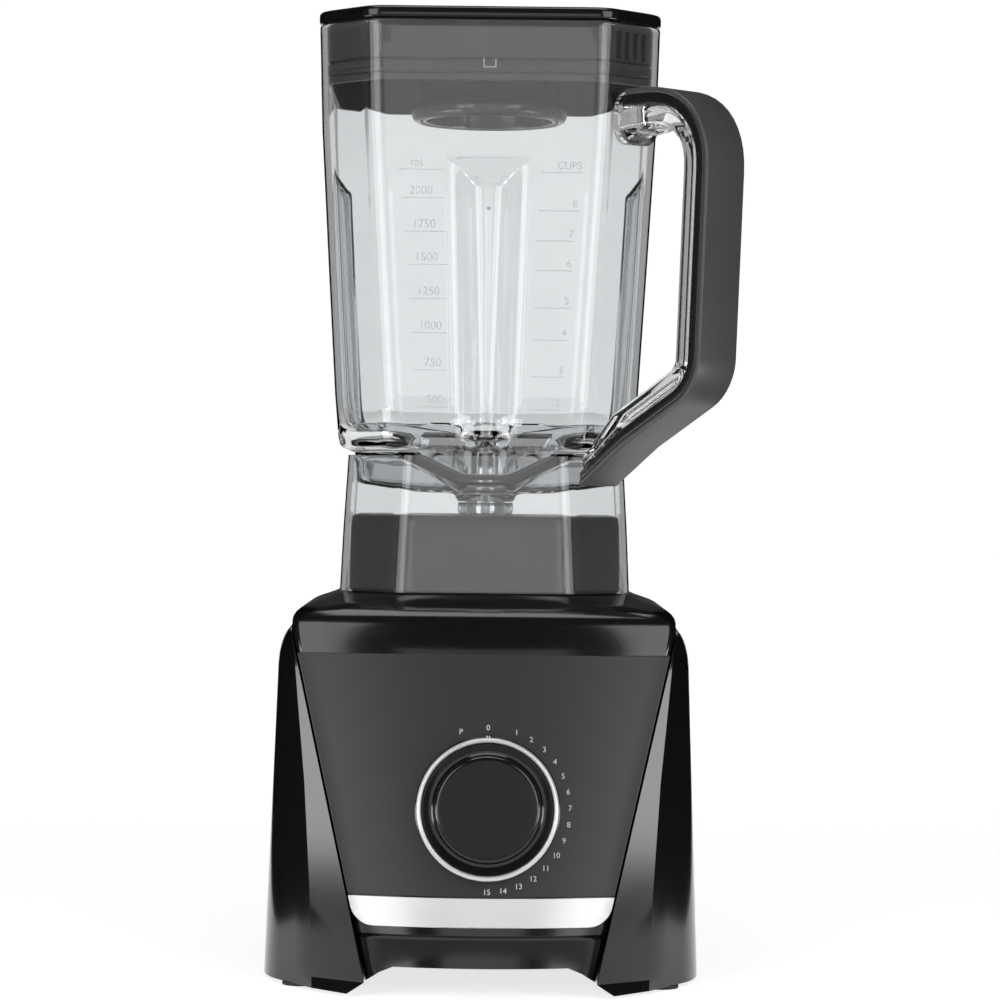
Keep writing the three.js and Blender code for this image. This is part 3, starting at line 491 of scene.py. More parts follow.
def face_depth(x, z, lift):
    reach = core_half(z) - 2.9
    return -(core_front(z) + FRONT_BOW * max(0.0, 1 - (x / reach) ** 2) + lift)


def curved_plate(z0, z1, margin, corner, lift, thick, across=40, up=24):
    """A plate that follows the front. corner rounds its two lower corners."""
    heights = [z0 + (z1 - z0) * (k / up) ** 1.3 for k in range(up + 1)]
    shape = bmesh.new()
    layers = []
    for raise_by in (lift, lift - thick):
        layer = []
        for z in heights:
            half = core_half(z) - margin
            rise = z - z0
            if rise < corner:
                half -= corner - math.sqrt(max(0.0, corner**2 - (corner - rise) ** 2))
            row = [half * (2 * k / across - 1) for k in range(across + 1)]
            layer.append([shape.verts.new(spot(x, face_depth(x, z, raise_by), z)) for x in row])
        layers.append(layer)
    face, back = layers
    for j in range(up):
        for i in range(across):
            shape.faces.new((face[j][i], face[j][i + 1], face[j + 1][i + 1], face[j + 1][i]))
            shape.faces.new((back[j][i], back[j + 1][i], back[j + 1][i + 1], back[j][i + 1]))
        for i in (0, across):
            shape.faces.new((face[j][i], face[j + 1][i], back[j + 1][i], back[j][i]))
    for j in (0, up):
        for i in range(across):
            shape.faces.new((face[j][i], face[j][i + 1], back[j][i + 1], back[j][i]))
    return shape


PANEL_LIFT = 0.5
STRIP_LOW, STRIP_HIGH, PANEL_TOP = 31, 43.6, 148.3
make_piece(
    "panel_plate", curved_plate(STRIP_HIGH + 0.4, PANEL_TOP, 0.9, 0, PANEL_LIFT, 1.4), "base", satin_panel,
    ["front_panel"], "panel_grey", bevel=0.45,
)
make_piece(
    "plated_strip", curved_plate(STRIP_LOW, STRIP_HIGH, 0.9, 8, PANEL_LIFT + 0.3, 1.6, up=30), "base",
    bright_plating, ["trim_strip"], "bright_trim", bevel=0.35,
)

# ---- Dial numbers -------------------------------------------------------------------------------
# Fine pale grey printing on the panel around the knob: 0 at the top, speeds to 15 at the bottom and
# a pulse letter on the other side. Screen printed ink, a few hundredths thick.
KNOB_X, KNOB_Z = 2.3, 81.5
panel_lean = math.atan((95 - 77) / 150)
print_ink = finish_material("print_ink", (0.5, 0.5, 0.5), (0.62, 0.62, 0.62), 0.5, 0.7, grain=900)


def lettering(name, text, size, matrix, thick=0.00005):
    """Text as a thin solid mesh, in place."""
    curve = bpy.data.curves.new(name, "FONT")
    curve.body = text
    curve.size = size / 1000
    curve.align_x = "CENTER"
    curve.align_y = "CENTER"
    curve.extrude = thick
    curve.resolution_u = 4
    word = bpy.data.objects.new(name, curve)
    bpy.context.collection.objects.link(word)
    mesh = bpy.data.meshes.new_from_object(word.evaluated_get(bpy.context.evaluated_depsgraph_get()))
    mesh.transform(matrix)
    bpy.data.objects.remove(word)
    return mesh


def join_meshes(meshes):
    shape = bmesh.new()
    for mesh in meshes:
        shape.from_mesh(mesh)
        bpy.data.meshes.remove(mesh)
    return shape


INK_LIFT = 0.03


def on_panel(x, z):
    """Frame on the panel's face: its x across, its y up the panel and its z out of it."""
    step = 0.5

    def face(x, z, raised=0.0):
        return spot(x, face_depth(x, z, PANEL_LIFT + raised), z)

    across = (face(x + step, z) - face(x, z)).normalized()
    up = (face(x, z + step) - face(x, z)).normalized()
    out = across.cross(up).normalized()
    turn = Matrix((across, out.cross(across), out)).transposed().to_4x4()
    return Matrix.Translation(face(x, z, INK_LIFT)) @ turn


dial_marks = []
DIAL_RADIUS, FIRST_SPEED, PULSE = 35.3, 20.4, -19.5
dial_places = [("P", PULSE), ("0", 0)]
dial_places += [(str(n), FIRST_SPEED + (n - 1) * (180 - FIRST_SPEED) / 14) for n in range(1, 16)]
for label, clock in dial_places:
    turn = math.radians(clock)
    radius = DIAL_RADIUS + 0.6 * abs(math.sin(turn))
    place = on_panel(KNOB_X + radius * math.sin(turn), KNOB_Z + radius * math.cos(turn))
    dial_marks.append(lettering(f"dial_{label}", label, 3.4, place))
make_piece("dial_numbers", join_meshes(dial_marks), "base", print_ink, slot="panel_grey", sharp=30)

# ---- Knob ---------------------------------------------------------------------------------------
# The speed knob: a black dial plate, a bright plated ring and a black cap with a raised satin disc.
# It is pressed on the switch's stem and turns about the panel's normal.
knob_place = Matrix.Translation(spot(KNOB_X, -(core_front(KNOB_Z) + FRONT_BOW), KNOB_Z))
KNOB_AXIS = knob_place @ Matrix.Rotation(math.radians(90) - panel_lean, 4, "X")


def turned(profile, steps=96, close=False):
    """A profile of radius and height, spun about its own axis."""
    shape = bmesh.new()
    turns = [(math.cos(i * math.tau / steps), math.sin(i * math.tau / steps)) for i in range(steps)]
    loops = []
    for radius, height in profile:
        if radius < 1e-6:
            loops.append([shape.verts.new((0, 0, height / 1000))])
        else:
            reach = radius / 1000
            loops.append([shape.verts.new((reach * c, reach * s, height / 1000)) for c, s in turns])
    pairs = list(zip(loops, loops[1:])) + ([(loops[-1], loops[0])] if close else [])
    for low, high in pairs:
        for i in range(steps):
            j = (i + 1) % steps
            if len(low) == 1:
                shape.faces.new((low[0], high[j], high[i]))
            elif len(high) == 1:
                shape.faces.new((low[i], low[j], high[0]))
            else:
                shape.faces.new((low[i], low[j], high[j], high[i]))
    return shape


def moved(shape, matrix):
    bmesh.ops.transform(shape, matrix=matrix, verts=shape.verts)
    return shape


knob_disc = finish_material(
    "knob_disc", (0.004, 0.004, 0.0045), (0.006, 0.006, 0.0065), 0.4, 0.5, grain=2200, bump=0.006,
    Specular_IOR_Level=0.3,
)


def knob_turning(name, profile, material, close=False, **told):
    """A turned piece of the knob."""
    make_piece(name, moved(turned(profile, close=close), KNOB_AXIS), "knob", material, **told)


plate_edge = [(31, 1), (31.5, 1.3), (31.6, 2), (31.6, 5), (31.4, 5.7), (30.9, 6.1), (30.2, 6.2)]
knob_turning(
    "knob_plate", [(0, 1), *plate_edge, (0, 6.2)], gloss_black, stands_for=["knob_dial", "knob_stem"],
    slot="matte_black",
)
ring_profile = [
    (28.7, 6.3), (30.7, 6.3), (30.85, 7), (30.85, 8.6), (30.6, 9.4), (30.1, 9.9), (29.5, 10), (29, 9.8),
    (28.7, 9.2),
]
knob_turning(
    "knob_bright_ring", ring_profile, bright_plating, close=True, stands_for=["knob_ring"],
    slot="bright_trim", sharp=60,
)
cap_profile = [
    (0, 6.3), (28.4, 6.3), (28.5, 6.8), (28.5, 8.8), (28.1, 9.2), (27.2, 9.1), (25.4, 8.6), (24.3, 8.6),
    (23.7, 9), (23.3, 10), (23.1, 12), (22.95, 13.4), (22.6, 14.2), (21.9, 14.7), (21.1, 14.85), (0, 14.85),
]
knob_turning("knob_cap_rim", cap_profile, gloss_black, stands_for=["knob_cap"], slot="panel_grey")
disc_profile = [(0, 14.9), (20.8, 14.9), (20.9, 15), (20.6, 15.05), (14, 14.97), (0, 14.95)]
knob_turning("knob_disc_face", disc_profile, knob_disc, slot="panel_grey")


def add_bar(shape, frame_matrix, place, size):
    """Adds a box to a shape, with its place and size in millimetres in a frame."""
    middle = Matrix.Translation(Vector(place) / 1000)
    sides = Matrix.Diagonal((*(Vector(size) / 1000), 1))
    bmesh.ops.create_cube(shape, size=1, matrix=frame_matrix @ middle @ sides)


pointer = bmesh.new()
for shift in (-0.55, 0.55):
    add_bar(pointer, KNOB_AXIS, (shift, 31.2, 6.3), (0.6, 1.2, 0.2))
make_piece("knob_pointer", pointer, "knob", print_ink, slot="panel_grey")

# ---- Underside, back and drive ------------------------------------------------------------------
# What the other sides show: vented bottom plate, screws, rubber pads, the air grille and the cord's
# gland, and the motor behind them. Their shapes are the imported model's own.
matte_black = finish_material(
    "matte_black", (0.012, 0.012, 0.0125), (0.02, 0.02, 0.021), 0.42, 0.6, grain=900, bump=0.02
)
rubber = finish_material("rubber", (0.01, 0.01, 0.01), (0.02, 0.02, 0.02), 0.75, 0.95, grain=500, bump=0.05)
ground_steel = finish_material(
    "ground_steel", (0.5, 0.5, 0.5), (0.66, 0.66, 0.65), 0.14, 0.3, grain=900, stretch=(1, 1, 0.1),
    bump=0.004, Metallic=1.0,
)
copper_wire = finish_material(
    "copper_wire", (0.42, 0.16, 0.06), (0.62, 0.27, 0.11), 0.3, 0.5, grain=1400, stretch=(1, 1, 0.2),
    bump=0.08, Metallic=0.8,
)
laminated_iron = finish_material(
    "laminated_iron", (0.2, 0.2, 0.2), (0.32, 0.31, 0.3), 0.4, 0.6, grain=1600, stretch=(0.1, 0.1, 1),
    bump=0.06, Metallic=0.9,
)
circuit_board = finish_material(
    "circuit_board", (0.01, 0.09, 0.035), (0.02, 0.13, 0.05), 0.35, 0.5, grain=800
)
CAD_FINISHES = {
    matte_black: [
        "rear_grille", "bottom_plate", "carbon_brush_right", "carbon_brush_left", "speed_switch",
        "cooling_fan",
    ],
    rubber: ["power_inlet_gland", "drive_coupling", "jar_coupling"],
    ground_steel: [
        "motor_bearing_upper", "motor_bearing_lower", "motor_post_left", "motor_post_right", "motor_shaft",
        "bearing_carrier", "blade_shaft",
    ],
    copper_wire: ["field_coil_right", "field_coil_left", "armature", "commutator"],
    laminated_iron: ["stator_core", "motor_bracket_upper", "motor_bracket_lower"],
    circuit_board: ["control_board"],
}
for corner in ("front_left", "front_right", "rear_left", "rear_right"):
    CAD_FINISHES[rubber].append(f"foot_{corner}")
    CAD_FINISHES[ground_steel].append(f"case_screw_{corner}")
for material, names in CAD_FINISHES.items():
    for name in names:
        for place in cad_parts[name].material_slots:
            place.material = material

# ---- Deck ---------------------------------------------------------------------------------------
# The raised dark block on the base that the jar's collar drops over, with the well for the couplings.
# Moulded in one piece, with rounded corners and a softened top edge.
deck_grey = finish_material(
    "deck_grey", (0.016, 0.016, 0.017), (0.022, 0.022, 0.023), 0.25, 0.35, grain=1200, bump=0.01
)
DECK_HALF, DECK_CUT, DECK_TOP, WELL = 60.2, 26, 208.4, 23


def square_ring(z, half, cut, radius, flat=8, arc=7):
    return eight_sided(z, half, half, cut, radius, flat=flat, arc=arc)


deck_levels = [
    (0.6, NECK_Z + 0.4), (0, NECK_Z + 1), (0, 190), (0.1, 204), (0.5, 206.6), (1.3, 207.9), (2.4, DECK_TOP),
]
deck_rings = [square_ring(z, DECK_HALF - pull, DECK_CUT, 9, arc=4) for pull, z in deck_levels]


def like_circle(ring, radius, z):
    """A circle with as many points as the ring, at the same bearings."""
    bearings = [math.atan2(y, x) for x, y, _ in ring]
    return [(radius * math.cos(angle), radius * math.sin(angle), z) for angle in bearings]


deck_rings += [like_circle(deck_rings[-1], radius, z) for radius, z in (
    (WELL + 3, DECK_TOP), (WELL + 1, DECK_TOP - 0.3), (WELL, DECK_TOP - 1.5), (WELL, 183.4), (6.5, 183.2),
)]
deck_under = like_circle(deck_rings[0], 6.5, 180.5)
deck_rings += [deck_under, like_circle(deck_under, 58, 175)]
make_piece(
    "deck_block", skin_rings(deck_rings, around=True), "base", deck_grey, ["coupling_deck"], "matte_black"
)

# ---- Jar ----------------------------------------------------------------------------------------
# The clear square jar, blow and injection moulded in tough copolyester with 3 mm walls: cut corners,
# a trough pressed into each wall to stir the food, and a funnel floor that holds the blades' hub.
JAR_LEVELS = [(238.6, 65), (243, 66.4), (262, 68), (318, 71.2), (380, 74.6), (426, 75.9)]
JAR_CUT, JAR_ROUND, JAR_WALL = 23, 15, 3
TROUGH = {"top": 366, "full": 353, "low": 243, "depth": 8.5, "wide": 16.2, "narrow": 13, "slope": 1.34}
HUB_BORE = 9


def jar_half(z):
    return between(JAR_LEVELS, z)


def soft_step(value):
    value = min(1.0, max(0.0, value))
    return value * value * (3 - 2 * value)


def trough_depth(along, z, spread=0.0):
    """How far a wall is pressed in at a place along it. spread widens it for the wall's inner side."""
    if z > TROUGH["top"] + spread or z < TROUGH["low"] - 6:
        return 0.0
    share = (z - TROUGH["low"]) / (TROUGH["full"] - TROUGH["low"])
    half = TROUGH["narrow"] + (TROUGH["wide"] - TROUGH["narrow"]) * min(share, 1.0) + spread
    side = (half - abs(along)) / TROUGH["slope"]
    end = (TROUGH["top"] + spread - z) * 0.72
    foot = (z - TROUGH["low"] + 6) * 1.6
    deep = TROUGH["depth"]
    nearest = min(side, end, foot)
    if nearest <= 0:
        return 0.0
    if nearest >= deep:
        return deep
    blend = 0.6
    if nearest < blend:
        return nearest**2 / (2 * blend)
    if nearest > deep - blend:
        return deep - blend / 2 - (deep - nearest) ** 2 / (2 * blend)
    return nearest - blend / 2


FLAT_STEPS = 30


def jar_ring(z, half, cut, radius, pressed=False, spread=0.0):
    """A ring of the jar's wall, with the troughs in it when pressed."""
    ring = square_ring(z, half, cut, radius, flat=FLAT_STEPS)
    if not pressed:
        return ring
    out = []
    for x, y, height in ring:
        if abs(abs(x) - half) < 1e-4:
            x -= math.copysign(trough_depth(y, z, spread), x)
        elif abs(abs(y) - half) < 1e-4:
            y -= math.copysign(trough_depth(x, z, spread), y)
        out.append((x, y, height))
    return out


def rounder(ring, share):
    """Blends a ring towards the circle that has its greatest half width."""
    half = max(abs(x) for x, _, _ in ring)
    round_ring = like_circle(ring, half, ring[0][2])
    return [tuple(Vector(a).lerp(Vector(b), share)) for a, b in zip(ring, round_ring)]


jar_heights = [243, 246, 250, 256, 262, 275, 290, 305, 318, 330, 340, 348, *range(350, 370)]
jar_heights += [374, 380, 400, 415, 423]
# The floor's height on both faces, by the distance from the nearer of the two valleys that cross at
# the hub. The valleys rise by a share of what is left towards the walls.
FLOOR_UNDER = [(0, 218.2), (12, 218.6), (14.5, 220), (33, 230.8), (36.5, 232.9), (40, 233.9), (90, 234.6)]
FLOOR_OVER = [(0, 222.4), (9.5, 222.8), (12, 224), (30, 234.6), (34, 236.9), (38, 238), (90, 238.8)]
VALLEY_RISE = 0.28


def valley_ring(half, cut, radius, round_share, heights):
    """A ring of the floor, which dips in the two valleys."""
    top = heights[-1][1]
    points = []
    for x, y, _ in rounder(jar_ring(0, half, cut, radius), round_share):
        near, far = min(abs(x), abs(y)), max(abs(x), abs(y))
        height = between(heights, near)
        points.append((x, y, height + (top - height) * VALLEY_RISE * soft_step((far - 24) / 44)))
    return points


def raised(ring, lift):
    return [(x, y, z + lift) for x, y, z in ring]


def merged_ring(z, half, cut, radius):
    """A ring just above the floor, drawn in over the valleys so that the wall runs on down."""
    points = []
    for x, y, height in jar_ring(z, half, cut, radius):
        far = max(abs(x), abs(y))
        share = soft_step((36 - min(abs(x), abs(y))) / 12)
        scale = 1 - share * max(0.0, far - 59.2) / far
        points.append((x if abs(x) < far else x * scale, y if abs(y) < far else y * scale, height))
    return points


VALLEY_RINGS = [
    (17.5, 7, 5, 0.9), (22, 8, 6, 0.8), (27, 10, 7, 0.7), (32, 12, 8, 0.55), (37, 14, 9, 0.4),
    (42, 15, 10, 0.25), (47, 17, 11, 0.1), (51, 18, 12, 0),
]
outside = [
    like_circle(jar_ring(214.5, 13, 5, 4), HUB_BORE, 214.5),
    rounder(jar_ring(214.5, 12.4, 5, 4), 1),
    rounder(jar_ring(214.9, 13, 5, 4), 1),
    rounder(jar_ring(217.6, 14.4, 5.4, 4), 1),
    *[valley_ring(*ring, FLOOR_UNDER) for ring in VALLEY_RINGS],
    valley_ring(55, 20, 12, 0, FLOOR_UNDER),
    raised(valley_ring(57.4, 20.6, 13, 0, FLOOR_UNDER), 0.3),
    raised(valley_ring(58.5, 21, 13, 0, FLOOR_UNDER), 1.2),
    merged_ring(236.4, 59.1, 21.3, 13),
    merged_ring(237, 61, 21.5, 14),
    merged_ring(238.2, 64.2, 22.4, JAR_ROUND),
    merged_ring(239.6, 65.5, 22.8, JAR_ROUND),
]
outside += [jar_ring(z, jar_half(z), JAR_CUT, JAR_ROUND, True) for z in jar_heights]
rim = [(425.2, 75.9), (425.8, 75.7), (426, 75.2), (426, 73.8), (425.8, 73.2), (425.2, 72.9)]
outside += [jar_ring(z, half, JAR_CUT - 0.4 * (75.9 - half), JAR_ROUND) for z, half in rim]
TROUGH_SPREAD = JAR_WALL * 0.35
inside = [
    jar_ring(z, jar_half(z) - JAR_WALL, JAR_CUT - 1.3, JAR_ROUND - 3, True, TROUGH_SPREAD)
    for z in reversed([h for h in jar_heights if h > 255])
]
inside += [
    jar_ring(250, 63.7, 21.4, 12, True, TROUGH_SPREAD),
    jar_ring(246.5, 62.9, 21.2, 12, True, TROUGH_SPREAD),
    jar_ring(243.4, 60.6, 20.8, 12),
    jar_ring(241.2, 57.8, 20, 12),
    raised(valley_ring(55.6, 19.6, 12, 0, FLOOR_OVER), 1.4),
    raised(valley_ring(54.4, 19.2, 12, 0, FLOOR_OVER), 0.3),
    *[valley_ring(*ring, FLOOR_OVER) for ring in reversed(VALLEY_RINGS)],
    rounder(jar_ring(222.2, 12.9, 5, 4), 1),
    rounder(jar_ring(219.8, 11.9, 5, 4), 1),
    like_circle(jar_ring(219, 11, 5, 4), HUB_BORE, 219),
]
clear_plastic = finish_material(
    "clear_plastic", (0.83, 0.842, 0.85), (0.87, 0.88, 0.888), 0.0, 0.02, grain=60, Metallic=0.0,
    Transmission_Weight=1.0, IOR=1.5,
)
make_piece(
    "clear_jar", skin_rings(outside + inside, around=True), "jar", clear_plastic, ["jar_body"],
    "clear_plastic", sharp=50,
)

# ---- Collar under the jar -----------------------------------------------------------------------
# The clear skirt below the jar, with wider cut corners. It drops over the deck and stands on the neck.
COLLAR = [(174.4, 65.2), (203, 63.9), (235.6, 62)]
COLLAR_CUT, COLLAR_WALL = 26, 2.5
collar_heights = [174.4, 174.9, 184, 194, 203, 212, 222, 232, 235.2]
collar_out = [square_ring(z, between(COLLAR, z), COLLAR_CUT, 13, flat=6) for z in collar_heights]
collar_in = [
    square_ring(z, between(COLLAR, z) - COLLAR_WALL, COLLAR_CUT - 1, 10, flat=6)
    for z in reversed(collar_heights)
]
make_piece(
    "clear_collar", skin_rings(collar_out + collar_in, around=True), "jar", clear_plastic, ["jar_collar"],
    "clear_plastic", sharp=50,
)

# ---- Capacity marks -----------------------------------------------------------------------------
# Fine raised lines and figures moulded on the front wall: millilitres on the left, cups on the right.
# Moulded in the clear wall, the lines and figures have no colour of their own: their grey is painted shade
# and highlight.
ridge_shade_and_glint = finish_material("ridge_shade_and_glint", (0.42, 0.43, 0.44), (0.55, 0.56, 0.57), 0.2, 0.4, grain=800)


def on_wall(x, z):
    """Frame on the front wall: its x across, its y up the wall and its z out of it."""
    lean = math.atan2(jar_half(z + 2) - jar_half(z - 2), 4)
    here = spot(x, -(jar_half(z) + 0.02), z)
    return Matrix.Translation(here) @ Matrix.Rotation(math.radians(90) + lean, 4, "X")


def mark_line(x0, x1, z):
    shape = bmesh.new()
    add_bar(shape, on_wall((x0 + x1) / 2, z), (0, 0, 0), (x1 - x0, 0.35, 0.2))
    mesh = bpy.data.meshes.new("mark_line")
    shape.to_mesh(mesh)
    shape.free()
    return mesh


MILLILITRES = [
    ("mL", 360.6, -39.7), ("2000", 348.2, -38.2), ("1750", 333.5, -36.8), ("1500", 319, -35.6),
    ("1250", 304.1, -34.6), ("1000", 289, -33.6), ("750", 272.7, -32.4), ("500", 256.4, -31.2),
]
CUPS = [
    ("CUPS", 359.7, 41.5), ("8", 343, 39.6), ("7", 329.8, 38.2), ("6", 316.8, 37.2), ("5", 300.4, 36.4),
    ("4", 286.3, 35.4), ("3", 270.1, 34.2), ("2", 255.6, 33),
]
MARK_THICK = 0.0001
marks = []
for text, z, reach in MILLILITRES:
    marks.append(mark_line(reach, reach + 19.5 - (360 - z) * 0.05, z))
    marks.append(lettering(f"mark_{text}", text, 5.2, on_wall(reach + 8.5, z + 3.2), MARK_THICK))
for text, z, reach in CUPS:
    marks.append(mark_line(reach - 18.5 + (360 - z) * 0.045, reach, z))
    middle = reach - (6 if text == "CUPS" else 1.6)
    marks.append(lettering(f"mark_{text}", text, 4.6, on_wall(middle, z + 3), MARK_THICK))
make_piece("capacity_marks", join_meshes(marks), "jar", ridge_shade_and_glint, slot="clear_plastic", sharp=30)

# ---- Handle -------------------------------------------------------------------------------------
# A clear bowed core that grows out of the jar's corner, with a satin dark grip clipped round its
# outside. Both follow one line: out from the jar's top, round, down, and slanting back in.
HANDLE_CORNERS = [Vector(p) for p in ((90, 396.4), (146.2, 396.4), (140.4, 264), (64.4, 222.2))]
HANDLE_BENDS = (36, 25)
KNEE_WEIGHT = 0.82
HANDLE_TURN = Matrix.Translation(spot(0, 0, 0)) @ Matrix.Rotation(math.radians(-45), 4, "Z")


def handle_line(begin=0.0, steps=12):
    """Points of distance and height along the handle, and the inward normals there."""
    sides = []
    for a, b in zip(HANDLE_CORNERS, HANDLE_CORNERS[1:]):
        along = (b - a).normalized()
        inward = Vector((along.y, -along.x))
        sides.append((a, along, inward))

    start = sides[0][0] + sides[0][1] * begin
    stop = HANDLE_CORNERS[3]
    line = [(start, sides[0][2])]
    for i, knee in enumerate(HANDLE_CORNERS[1:3]):
        before, after = sides[i], sides[i + 1]
        angle = before[1].angle(after[1])
        reach = HANDLE_BENDS[i] * math.tan(angle / 2)
        into, out = knee - before[1] * reach, knee + after[1] * reach
        line.append((line[-1][0].lerp(into, 0.5), before[2]))
        for k in range(steps + 1):
            t = k / steps
            pull = 2 * KNEE_WEIGHT * t * (1 - t)
            weight = (1 - t) ** 2 + pull + t * t
            point = (into * (1 - t) ** 2 + knee * pull + out * t * t) / weight
            line.append((point, before[2].lerp(after[2], soft_step(t)).normalized()))
        if i == 0:
            line += [(out.lerp(HANDLE_CORNERS[2], share), after[2]) for share in (0.3, 0.6)]
    line.append((line[-1][0].lerp(stop, 0.5), sides[2][2]))
    line.append((stop, sides[2][2]))
    return line


def in_handle(out, side, height):
    """A place given by distance out from the jar's axis, sideways and height."""
    return HANDLE_TURN @ (Vector((out, side, height)) / 1000)


def sweep_handle(section, begin, taper=None):
    """section gives points of sideways place and depth inwards; taper scales it along the line."""
    shape = bmesh.new()
    loops = []
    line = handle_line(begin)
    for k, (point, inward) in enumerate(line):
        wide, deep = taper(k / (len(line) - 1)) if taper else (1.0, 1.0)
        places = [(point + inward * (depth * deep), side * wide) for side, depth in section]
        loops.append([shape.verts.new(in_handle(at.x, side, at.y)) for at, side in places])
    return join_loops(shape, loops)


def rounded_section(half, depth, radius, start=0.0, steps=4):
    """A rounded rectangle: sideways from -half to half, inwards from start to start + depth."""
    points = []
    for cx, cy, first in (
        (half - radius, start + radius, -90), (half - radius, start + depth - radius, 0),
        (-half + radius, start + depth - radius, 90), (-half + radius, start + radius, 180),
    ):
        for k in range(steps + 1):
            angle = math.radians(first + 90 * k / steps)
            points.append((cx + radius * math.cos(angle), cy + radius * math.sin(angle)))
    return points


grip_satin = finish_material(
    "grip_satin", (0.045, 0.045, 0.047), (0.062, 0.062, 0.065), 0.3, 0.42, grain=2400, bump=0.01
)
grip_side = finish_material(
    "grip_side", (0.006, 0.006, 0.0065), (0.01, 0.01, 0.0105), 0.2, 0.3, grain=1500, bump=0.006
)
CORNER_FACES = [
    (0, 70.4), (237, 70.4), (238.5, 75.6), (243, 77.8), (262, 80), (318, 84.5), (380, 89.3), (440, 91.2),
]


def clear_of_jar(shape, gap):
    """Trims what reaches into the cut corner of the jar or of its collar."""
    for vertex in shape.verts:
        local = HANDLE_TURN.inverted() @ vertex.co * 1000
        limit = between(CORNER_FACES, local.z) + gap
        if local.x < limit:
            local.x = limit
            vertex.co = HANDLE_TURN @ (local / 1000)
    return shape


grip_face = clear_of_jar(sweep_handle(rounded_section(12.3, 2.6, 0.8), 6), 0.6)
make_piece("grip_face", grip_face, "jar", grip_satin, ["handle_grip"], "grip_grey", sharp=40)
grip_body = clear_of_jar(sweep_handle(rounded_section(11.9, 4.6, 0.7, start=2.62), 4), 0.6)
make_piece("grip_channel", grip_body, "jar", grip_side, slot="grip_grey", sharp=40)
CORE_DEEP, CORE_START = 9.8, 7.3
CORE_FACE = CORE_START + CORE_DEEP
core_section = rounded_section(10.2, CORE_DEEP, 3.2, start=CORE_START, steps=5)
core_section[12:12] = [
    (5, CORE_FACE), (4, CORE_FACE - 1.3), (3, CORE_FACE),
    (-3, CORE_FACE), (-4, CORE_FACE - 1.3), (-5, CORE_FACE),
]


def thicker_root(t):
    return 1 + 0.22 * max(0, 1 - t * 7) ** 1.5, 1 + 0.12 * max(0, 1 - t * 9) ** 2


core_shape = clear_of_jar(sweep_handle(core_section, 3, thicker_root), 0.8)
handle_core = make_piece(
    "clear_handle_core", core_shape, "jar", clear_plastic, ["handle_core"], "clear_plastic", sharp=50
)
PAD_WIDE, PAD_TALL, PAD_Z = 13, 11.5, 384.4
PAD_LAYERS = ((0.45, 0.4), (0.9, 0), (3.2, 0), (4.2, 0.6), (4.8, 1.8), (6.5, 3.4), (9.5, 4.6))
pad_section = rounded_section(PAD_WIDE, 2 * PAD_TALL, 7.5, start=-PAD_TALL, steps=6)
pad = bmesh.new()
pad_loops = []
for reach, inset in PAD_LAYERS:
    heights = [PAD_Z + h * (1 - inset / PAD_TALL) for _, h in pad_section]
    pad_loops.append([
        pad.verts.new(in_handle(between(CORNER_FACES, z) + reach, v * (1 - inset / PAD_WIDE), z))
        for (v, _), z in zip(pad_section, heights)
    ])
cut_away(handle_core, join_loops(pad, pad_loops), "top_root", "UNION")

# ---- Blades and hub -----------------------------------------------------------------------------
# Two pairs of ground stainless blades on a short shaft, under a hexagon nut. The shaft runs in a hub
# that a clear nut pulls up against the funnel's floor, over a silicone gasket.
BLADE_Z, UPPER_Z, BLADE_ROOT, BLADE_THICK, SWEEP_BACK = 223.2, 226.1, 4.6, 1.1, 0.35


def blade_shape(z, rise, reach, width, turn):
    """Two blades that rise towards their tips, thinned along the leading edge."""
    shape = bmesh.new()
    layers = []
    for thick in (0.0, BLADE_THICK):
        rows = []
        for sign in (1, -1):
            for k in range(9):
                t = k / 8
                along = sign * (BLADE_ROOT + (reach - BLADE_ROOT) * t)
                up = z + rise * soft_step((t - 0.15) / 0.6)
                half = width / 2 * (1 - 0.55 * t**1.6)
                drift = SWEEP_BACK * half * t * 1.6
                rows.append([
                    (along, sign * (half + drift), up + (thick * 0.35 if thick else 0.35)),
                    (along, sign * drift, up + thick),
                    (along, sign * (drift - half), up + thick),
                ])
        layers.append(rows)
    spin = Matrix.Rotation(math.radians(turn), 3, "Z")
    low, high = [
        [[shape.verts.new(spot(*(spin @ Vector(p)))) for p in row] for row in rows] for rows in layers
    ]
    for side in (0, 9):
        for k in range(side, side + 8):
            for m in (0, 1):
                shape.faces.new((low[k][m], low[k + 1][m], low[k + 1][m + 1], low[k][m + 1]))
                shape.faces.new((high[k][m], high[k][m + 1], high[k + 1][m + 1], high[k + 1][m]))
            for m in (0, 2):
                shape.faces.new((low[k][m], high[k][m], high[k + 1][m], low[k + 1][m]))
        for k in (side, side + 8):
            for m in (0, 1):
                shape.faces.new((low[k][m], low[k][m + 1], high[k][m + 1], high[k][m]))
    return shape


def upright(profile, steps=48, close=False):
    return moved(turned(profile, steps, close), Matrix.Translation(spot(0, 0, 0)))


hub_plate = [(4.4, 0), (6.6, 0), (6.6, BLADE_THICK), (4.4, BLADE_THICK)]
BLADE_PAIRS = (("blade_lower", BLADE_Z, (5, 15.2, 8, 8)), ("blade_upper", UPPER_Z, (8.4, 13.2, 7, 70)))
for name, z, sizes in BLADE_PAIRS:
    blades = blade_shape(z, *sizes)
    hub = upright([(r, z + h) for r, h in hub_plate], close=True)
    hub_mesh = bpy.data.meshes.new("hub")
    hub.to_mesh(hub_mesh)
    hub.free()
    blades.from_mesh(hub_mesh)
    bpy.data.meshes.remove(hub_mesh)
    make_piece(f"{name}_pair", blades, "blades", ground_steel, [name], "steel", sharp=25)
NUT_Z = UPPER_Z + 1.45
nut_profile = [(3.9, 0), (5.4, 0), (5.6, 0.3), (5.6, 2.8), (5.2, 3.4), (4.4, 3.6), (3.9, 3.4)]
nut_shape = moved(turned(nut_profile, 6, True), Matrix.Translation(spot(0, 0, NUT_Z)))
